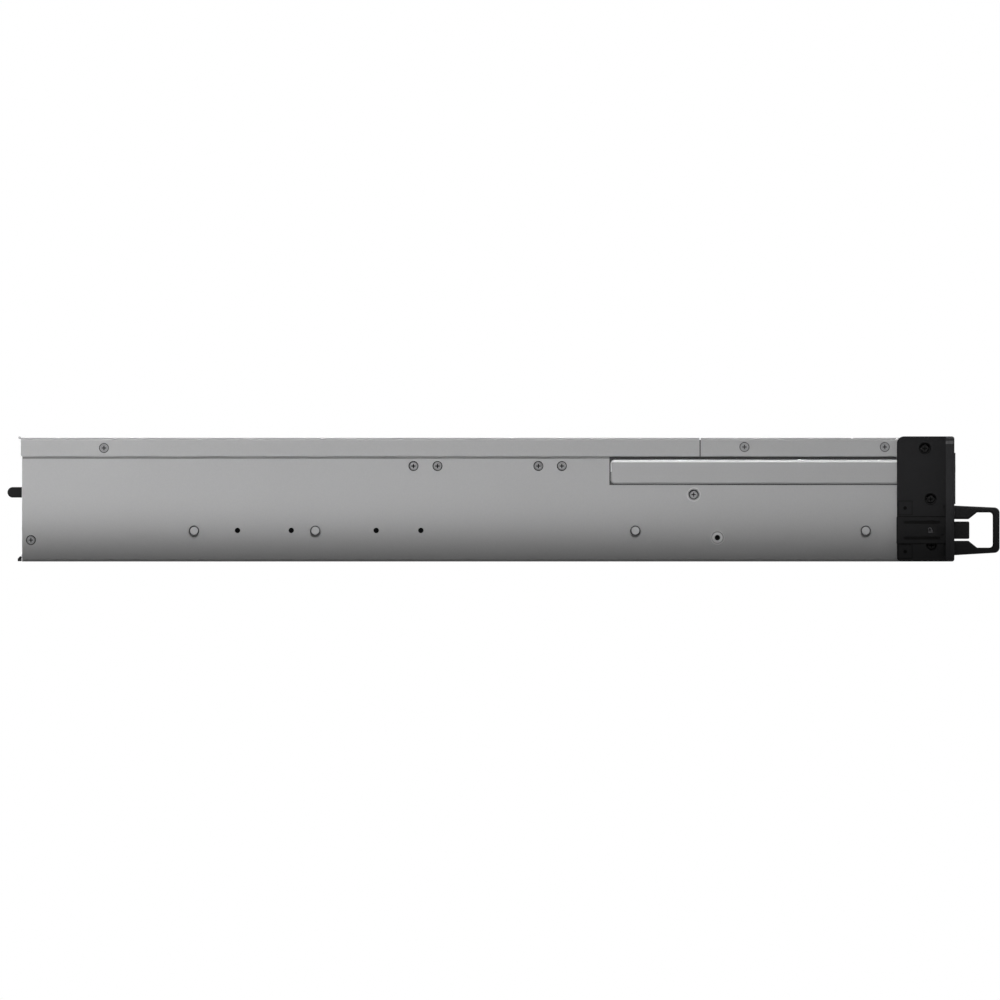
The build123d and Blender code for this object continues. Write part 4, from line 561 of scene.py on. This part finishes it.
def addScrewShade(bm, sign, wall, y, z, depths):
    head, gap = sideScrews["head"], sideScrews["gap"]
    addRing(bm, (sign * (wall + 0.00004), y, z), (1, 0, 0), head, head + gap, 0.00006)
    half, slot = sideScrews["half"], sideScrews["slot"]
    near, far = sorted(sign * (wall - depth) for depth in depths)
    addBlock(bm, (near, y - half, z - slot), (far, y + half, z + slot))
    addBlock(bm, (near, y - slot, z - half), (far, y + slot, z + half))


def makeDimpleRims():
    # painted highlights: bright rings round the two dimples and round the hole in the floor of the bare one
    rims = bmesh.new()
    outer = sideScrews["rim"]
    for sign in (-1, 1):
        wall = sign * sideScrews["wallX"]
        for y, z in (sideScrews["dimple"], sideScrews["bareDimple"]):
            addRing(rims, (wall + sign * 0.00002, y, z), (1, 0, 0), outer, outer + 0.0005, 0.00006, 40)
        y, z = sideScrews["bareDimple"]
        floor = wall - sign * sideScrews["dimpleSunk"]
        addRing(rims, (floor + sign * 0.00002, y, z), (1, 0, 0), 0.0021, 0.0036, 0.00006, 40)
    finishPiece("dimpleRims", rims, trims["rimHighlight"], "chassis")


# painted shadow lines under the covers' flanges, where the wall steps in: a lighter one from the channel's rear end
# back, a darker one above the channel
coverLine = {"outX": 0.21738, "thick": 0.0001, "low": 0.0721, "top": 0.07375,
             "y": {"stepSoftShade": (-0.0745, 0.3384), "stepShade": (-0.2766, -0.0745)}}


def makeCoverLine():
    for finish, (front, back) in coverLine["y"].items():
        line = bmesh.new()
        for sign in (-1, 1):
            near, far = sorted(sign * (coverLine["outX"] - depth) for depth in (0.0, coverLine["thick"]))
            addBlock(line, (near, front, coverLine["low"]), (far, back, coverLine["top"]))
        finishPiece("coverLine_" + finish, line, trims[finish], "chassis")


makeScrewShades()
makeDimpleRims()
makeCoverLine()

# clinch nuts behind the rail holes and the dimpled hole, each with a closed end coloured black as painted shade in
# the hole
clinchNuts = {"wallX": 0.2163, "bore": 0.0019, "flange": 0.0036, "depth": 0.0035,
              "places": [(0.0582, 0.0219), (0.0896, 0.0219), (0.1494, 0.0219), (0.1872, 0.0219)],
              "dimple": (-0.1505, 0.0168), "dimpleDepth": 0.0007}


def makeClinchNuts():
    nuts, dark = bmesh.new(), bmesh.new()
    for sign in (-1, 1):
        spots = [(y, z, 0.0) for y, z in clinchNuts["places"]]
        spots.append((*clinchNuts["dimple"], clinchNuts["dimpleDepth"]))
        for y, z, sunk in spots:
            wall = sign * (clinchNuts["wallX"] - sunk)
            depth = clinchNuts["depth"]
            middle = wall - sign * (depth / 2 + 0.00005)
            addRing(nuts, (middle, y, z), (1, 0, 0), clinchNuts["bore"], clinchNuts["flange"], depth)
            addDisc(dark, (wall - sign * depth * 0.6, y, z), (1, 0, 0), clinchNuts["bore"] * 1.01,
                    depth * 0.4)
    finishPiece("clinchNuts", nuts, trims["tin"], "chassis")
    finishPiece("clinchNutEndShades", dark, trims["shade"], "chassis")


makeClinchNuts()

# ears: painted shade as black crosses in the blackened screws, strips in the gaps round the latch arm and pads and
# near-black inserts in the latch grooves; and the lock mark
earTrim = {"outX": 0.224, "headX": 0.2201, "screws": [(-0.2965, 0.0797), (-0.3005, 0.0440), (-0.3011, 0.0113)],
           "recess": 0.0038, "grooveY": (-0.3073, -0.2818), "grooveZ": (0.0165, 0.0276),
           "grooveHalf": 0.0009, "markY": -0.3004, "markZ": 0.02205,
           "armY": (-0.3108, -0.2768), "armZ": (0.0125, 0.0316), "line": 0.0005,
           "pads": [(-0.2826, 0.0377), (-0.2826, 0.0070)], "padHalf": 0.0049, "padHole": 0.0012}


def addFrame(bm, x, sign, yRange, zRange, line):
    near, far = sorted((x + sign * 0.00001, x + sign * 0.00005))
    for z in zRange:
        addBlock(bm, (near, yRange[0] - line / 2, z - line / 2), (far, yRange[1] + line / 2, z + line / 2))
    for y in yRange:
        addBlock(bm, (near, y - line / 2, zRange[0]), (far, y + line / 2, zRange[1]))


def makeEarTrim():
    for sign, side in ((-1, "left"), (1, "right")):
        out = sign * earTrim["outX"]
        grooveShadeStrips, mark = bmesh.new(), bmesh.new()
        # painted shade: near-black inserts laid in the latch grooves
        for z in earTrim["grooveZ"]:
            near, far = sorted((out - sign * 0.00078, out - sign * 0.0006))
            addBlock(grooveShadeStrips, (near, earTrim["grooveY"][0], z - earTrim["grooveHalf"]),
                     (far, earTrim["grooveY"][1], z + earTrim["grooveHalf"]), 0.00004)
        finishPiece("latchGrooveShades_" + side, grooveShadeStrips, trims["grooveShade"], "latch_" + side)
        y, z = earTrim["markY"], earTrim["markZ"]
        near, far = sorted((out, out + sign * 0.00012))
        addBlock(mark, (near, y - 0.0016, z - 0.002), (far, y + 0.0016, z + 0.0003), 0.00003)
        addRing(mark, (out + sign * 0.00006, y + 0.0004, z + 0.0006), (1, 0, 0), 0.0008, 0.0013, 0.00012)
        finishPiece("lockMark_" + side, mark, trims["mark"], "latch_" + side)
        # painted shade: black strips in the gaps round the latch arm and pads, discs in the pad holes, rings round
        # the screw recesses and crosses in the screw heads
        gapShades = bmesh.new()
        near, far = sorted((out + sign * 0.00001, out + sign * 0.00005))
        for z in earTrim["armZ"]:
            addBlock(gapShades, (near, earTrim["armY"][0], z - 0.00022), (far, earTrim["armY"][1], z + 0.00022))
        for y, z in earTrim["pads"]:
            half = earTrim["padHalf"]
            addFrame(gapShades, out, sign, (y - half, y + half), (z - half, z + half), earTrim["line"] * 0.6)
            addDisc(gapShades, (out - sign * 0.0004, y, z), (1, 0, 0), earTrim["padHole"], 0.0008)
        for y, z in earTrim["screws"]:
            if z > earTrim["armZ"][0]:
                addRing(gapShades, (out + sign * 0.00003, y, z), (1, 0, 0), earTrim["recess"],
                        earTrim["recess"] + 0.0004, 0.00005)
            head = sign * earTrim["headX"]
            near, far = sorted((head + sign * 0.00002, head + sign * 0.00006))
            half, slot = sideScrews["half"], sideScrews["slot"]
            addBlock(gapShades, (near, y - half, z - slot), (far, y + half, z + slot))
            addBlock(gapShades, (near, y - slot, z - half), (far, y + slot, z + half))
        finishPiece("earGapShades_" + side, gapShades, trims["shade"], "chassis")


makeEarTrim()
print("side trim made")

# drive trays: lamp lenses on the catch, ridges on the lever, marks pressed in each drive's lid
trayTrim = {"front": -0.3165, "lensX": 0.0473, "lensZ": (0.0086, 0.0186), "lens": 0.0011,
            "ridgeX": 0.0335, "ridgePitch": 0.0014, "ridges": 5, "ridgeZ": (0.006, 0.0212),
            "leverFront": -0.3159, "lidTop": 0.0269, "spindleY": -0.262, "spindle": 0.012}
bayPlaces = [((column - 1.5) * 0.1064, 0.0019 + row * 0.0276) for row in (2, 1, 0)
             for column in range(4)]


def makeTrayTrim():
    for number, (x, z) in enumerate(bayPlaces, start=1):
        body = f"drive_tray_{number:02d}"
        catchFront = trayTrim["front"] + 0.0004
        for name, lensZ in zip(("lens", "lensAmber"), trayTrim["lensZ"]):
            bm = bmesh.new()
            place = (x + trayTrim["lensX"], catchFront - 0.0001, z + lensZ)
            addDisc(bm, place, (0, -1, 0), trayTrim["lens"], 0.0002, tip=trayTrim["lens"] * 0.8)
            finishPiece(f"{name}_{number:02d}", bm, trims[name], body, True)
        ridges = bmesh.new()
        for k in range(trayTrim["ridges"]):
            ridgeX = x + trayTrim["ridgeX"] + k * trayTrim["ridgePitch"]
            addBlock(ridges, (ridgeX, trayTrim["leverFront"] - 0.0003, z + trayTrim["ridgeZ"][0]),
                     (ridgeX + 0.0006, trayTrim["leverFront"], z + trayTrim["ridgeZ"][1]), 0.00008)
        finishPiece(f"leverRidges_{number:02d}", ridges, finishes["lever_plastic"],
                    f"tray_lever_{number:02d}")
        lid = bmesh.new()
        top = z + trayTrim["lidTop"]
        centre = (x, trayTrim["spindleY"], top + 0.00005)
        addDisc(lid, centre, (0, 0, 1), trayTrim["spindle"], 0.0001, 40)
        addRing(lid, centre, (0, 0, 1), trayTrim["spindle"] + 0.003, trayTrim["spindle"] + 0.0036,
                0.0001, 48)
        for dx, dy in ((-0.044, -0.03), (0.044, -0.03), (-0.044, 0.09), (0.044, 0.09)):
            addDisc(lid, (x + dx, trayTrim["spindleY"] + dy, top + 0.00005), (0, 0, 1), 0.0018, 0.0001)
        finishPiece(f"driveLidMarks_{number:02d}", lid, trims["tin"], body)


makeTrayTrim()
print("tray trim made")

# control panels in the ears: lamp lenses, the power mark and the service socket
panelTrim = {"face": -0.318, "x": 0.229, "lampZ": (0.0454, 0.0504, 0.0554), "lamp": 0.00075,
             "buttonZ": 0.065, "socketZ": 0.0585}


def makePanelTrim():
    face = panelTrim["face"]
    lenses = bmesh.new()
    for z in panelTrim["lampZ"]:
        addDisc(lenses, (-panelTrim["x"], face + 0.0003, z), (0, -1, 0), panelTrim["lamp"], 0.0005)
    finishPiece("panelLenses", lenses, trims["lens"], "chassis", True)
    mark = bmesh.new()
    addRing(mark, (-panelTrim["x"], face - 0.00002, panelTrim["buttonZ"]), (0, 1, 0), 0.0017, 0.0021,
            0.00006)
    addBlock(mark, (-panelTrim["x"] - 0.0002, face - 0.00005, panelTrim["buttonZ"] + 0.0006),
             (-panelTrim["x"] + 0.0002, face, panelTrim["buttonZ"] + 0.0028))
    finishPiece("powerMark", mark, trims["mark"], "power_button")
    tongue, contacts = bmesh.new(), bmesh.new()
    x, z = panelTrim["x"], panelTrim["socketZ"]
    addBlock(tongue, (x - 0.0009, face + 0.001, z - 0.0055), (x + 0.0009, face + 0.0054, z + 0.0055),
             0.0002)
    for k in range(4):
        low = z - 0.0044 + k * 0.0024
        addBlock(contacts, (x - 0.00102, face + 0.0014, low), (x - 0.0009, face + 0.005, low + 0.0014))
    finishPiece("serviceTongue", tongue, trims["nylonBlue"], "chassis")
    finishPiece("serviceContacts", contacts, trims["gold"], "chassis")


makePanelTrim()
print("panel trim made")

# rear sockets: moulded cores, tongues, contacts and lamps
rearTrim = {"face": 0.3385, "boardTop": 0.0093, "depth": 0.018,
            "network": (-0.082, -0.063, 0.020), "stack": -0.040, "display": -0.014}


def makeRearTrim():
    face, low = rearTrim["face"], rearTrim["boardTop"]
    core, gold, blue, dark = (bmesh.new() for _ in range(4))
    lamps, amber = bmesh.new(), bmesh.new()
    for x in rearTrim["network"]:
        addBlock(core, (x - 0.0068, face - 0.0168, low + 0.0012), (x + 0.0068, face - 0.0158, low + 0.0122))
        for k in range(8):
            left = x - 0.0040 + k * 0.00102
            addBlock(gold, (left, face - 0.0157, low + 0.0100), (left + 0.0005, face - 0.004, low + 0.0104))
        addBlock(lamps, (x - 0.0064, face - 0.002, low + 0.0108), (x - 0.0042, face - 0.0003, low + 0.0122), 0.0002)
        addBlock(amber, (x + 0.0042, face - 0.002, low + 0.0108), (x + 0.0064, face - 0.0003, low + 0.0122), 0.0002)
    x = rearTrim["stack"]
    addBlock(core, (x - 0.0055, face - 0.0168, low + 0.0012), (x + 0.0055, face - 0.0158, low + 0.0144))
    for z in (low + 0.0044, low + 0.0110):
        addBlock(blue, (x - 0.0046, face - 0.0157, z - 0.0008), (x + 0.0046, face - 0.003, z + 0.0008), 0.0002)
        for k in range(4):
            left = x - 0.0038 + k * 0.0021
            addBlock(gold, (left, face - 0.015, z - 0.00095), (left + 0.0012, face - 0.0035, z - 0.0008))
    x = rearTrim["display"]
    addBlock(blue, (x - 0.0112, face - 0.0165, low + 0.0022), (x + 0.0112, face - 0.004, low + 0.0103), 0.001)
    for row, count in ((0.0040, 5), (0.0062, 5), (0.0084, 5)):
        for k in range(count):
            left = x + (k - (count - 1) / 2) * 0.0032 + (0.0008 if row == 0.0062 else 0.0)
            addDisc(dark, (left, face - 0.00395, low + row), (0, 1, 0), 0.0006, 0.0001, 12)
    finishPiece("socketCores", core, trims["nylonDark"], "chassis")
    finishPiece("socketContacts", gold, trims["gold"], "chassis")
    finishPiece("socketTongues", blue, trims["nylonBlue"], "chassis")
    finishPiece("displayPinHoles", dark, trims["shade"], "chassis")
    finishPiece("socketLamps", lamps, trims["lens"], "chassis")
    finishPiece("socketLampsAmber", amber, trims["lensAmber"], "chassis")


makeRearTrim()

# power supplies: lamp beside the inlet, screws at the corners of the rear face, brass pins
supplyTrim = {"x": (-0.1862, -0.1306), "rear": 0.3388, "lampX": 0.02, "lampZ": 0.023,
              "inletZ": 0.0235, "pins": ((0.0, 0.002), (-0.007, -0.002), (0.007, -0.002))}


def makeSupplyTrim():
    for number, x in enumerate(supplyTrim["x"], start=1):
        rear = supplyTrim["rear"]
        body = f"power_supply_{number}"
        lamp, screws, pins = bmesh.new(), bmesh.new(), bmesh.new()
        addDisc(lamp, (x + supplyTrim["lampX"], rear + 0.00005, supplyTrim["lampZ"]), (0, 1, 0), 0.0013,
                0.0001, tip=0.001)
        finishPiece(f"supplyLamp_{number}", lamp, trims["lens"], body, True)
        for dx in (-0.024, 0.024):
            for z in (0.0045, 0.0805):
                addDisc(screws, (x + dx, rear + 0.00025, z), (0, 1, 0), 0.0017, 0.0005, tip=0.0013)
        finishPiece(f"supplyScrews_{number}", screws, trims["tin"], body)
        for dx, dz in supplyTrim["pins"]:
            z = supplyTrim["inletZ"] + dz
            addBlock(pins, (x + dx - 0.00103, rear - 0.0149, z - 0.00203),
                     (x + dx + 0.00103, rear - 0.0049, z + 0.00203), 0.0003)
        finishPiece(f"inletPins_{number}", pins, trims["tin"], body)


makeSupplyTrim()
print("rear trim made")

# parts on the main board
boardTrim = {"top": 0.0093, "processorX": (-0.020, 0.112), "processorY": 0.140,
             "memoryX": (-0.084, -0.0745, 0.030, 0.0395, 0.052, 0.0615, 0.162, 0.1715),
             "cardX": tuple(0.109 + 0.0203 * i for i in range(5)), "cardY": 0.274}


def makeBoardTrim():
    top = boardTrim["top"]
    chokes, cans, chips, pale, darkParts, tin = (bmesh.new() for _ in range(6))
    for x in boardTrim["processorX"]:
        for k in range(6):
            left = x - 0.030 + k * 0.0102
            addBlock(chokes, (left, 0.0775, top), (left + 0.0085, 0.0855, top + 0.006), 0.0008)
            addDisc(cans, (left + 0.0042, 0.0725, top + 0.004), (0, 0, 1), 0.0031, 0.008, 20, 0.0029)
            addBlock(chips, (left + 0.001, 0.0625, top), (left + 0.007, 0.0675, top + 0.0011), 0.0002)
    for x, y, wide, long, high in ((-0.070, 0.018, 0.052, 0.010, 0.011), (0.000, 0.016, 0.020, 0.010, 0.012),
                                   (0.030, 0.016, 0.020, 0.010, 0.012), (0.190, 0.020, 0.022, 0.011, 0.012)):
        addBlock(pale, (x, y, top), (x + wide, y + long, top + high), 0.0006)
        for k in range(int(wide / 0.0042)):
            left = x + 0.0021 + k * 0.0042
            addBlock(darkParts, (left, y + 0.0016, top + high - 0.0002),
                     (left + 0.0026, y + 0.0042, top + high + 0.00005))
            addBlock(darkParts, (left, y + 0.0058, top + high - 0.0002),
                     (left + 0.0026, y + 0.0084, top + high + 0.00005))
    for k in range(6):
        left = 0.066 + k * 0.018
        addBlock(darkParts, (left, 0.014, top), (left + 0.0145, 0.0215, top + 0.0085), 0.0006)
        addBlock(tin, (left + 0.002, 0.0165, top + 0.0080), (left + 0.0125, 0.0175, top + 0.0087))
    for x, y, wide, long, high in ((-0.085, 0.300, 0.012, 0.012, 0.0012), (-0.068, 0.296, 0.014, 0.014, 0.0014),
                                   (-0.045, 0.285, 0.010, 0.016, 0.0011), (0.020, 0.288, 0.016, 0.016, 0.0015),
                                   (0.048, 0.270, 0.020, 0.020, 0.0018), (0.050, 0.235, 0.012, 0.008, 0.001),
                                   (-0.070, 0.240, 0.009, 0.006, 0.001), (-0.062, 0.222, 0.007, 0.007, 0.001),
                                   (0.020, 0.225, 0.008, 0.006, 0.001), (0.075, 0.222, 0.007, 0.005, 0.001)):
        addBlock(chips, (x, y, top), (x + wide, y + long, top + high), 0.0002)
        for side in (-1, 1):
            for k in range(6):
                step = long * (k + 0.5) / 6
                edge = x + wide / 2 + side * (wide / 2 + 0.0005)
                addBlock(tin, (edge - 0.0006, y + step - 0.0003, top),
                         (edge + 0.0006, y + step + 0.0003, top + 0.0003))
    for x, y in ((-0.080, 0.270), (-0.072, 0.270), (-0.064, 0.270), (0.075, 0.300), (0.083, 0.300),
                 (-0.080, 0.255), (0.090, 0.240), (0.078, 0.262), (0.078, 0.272), (0.088, 0.272)):
        addDisc(cans, (x, y, top + 0.0035), (0, 0, 1), 0.0027, 0.007, 20, 0.0025)
    addDisc(tin, (-0.050, 0.255, top + 0.003), (0, 0, 1), 0.010, 0.003, 40, 0.0097)
    addRing(darkParts, (-0.050, 0.255, top + 0.0022), (0, 0, 1), 0.0101, 0.0122, 0.0042, 40)
    for x in boardTrim["memoryX"]:
        for y in (boardTrim["processorY"] - 0.0689, boardTrim["processorY"] + 0.0689):
            toward = 1 if y < boardTrim["processorY"] else -1
            near, far = sorted((y - toward * 0.0016, y + toward * 0.0008))
            addBlock(pale, (x - 0.0028, near, top + 0.0066), (x + 0.0028, far, top + 0.0160), 0.0005)
    for x in boardTrim["cardX"]:
        addBlock(darkParts, (x - 0.0008, boardTrim["cardY"] - 0.0425, top + 0.0110),
                 (x + 0.0008, boardTrim["cardY"] + 0.0425, top + 0.01103))
    finishPiece("boardChokes", chokes, trims["ferrite"], "chassis")
    finishPiece("boardCans", cans, trims["can"], "chassis", True)
    finishPiece("boardChips", chips, trims["chip"], "chassis")
    finishPiece("boardSockets", pale, trims["nylon"], "chassis")
    finishPiece("boardDarkParts", darkParts, trims["nylonDark"], "chassis")
    finishPiece("boardContacts", tin, trims["tin"], "chassis")


makeBoardTrim()
print("board trim made")

placeCamera()
setWorld()
makeFloor()
for name, settings in lamps.items():
    addLamp(name, *settings)
bpy.context.scene.view_settings.view_transform = "Standard"
print("camera and lamps placed")
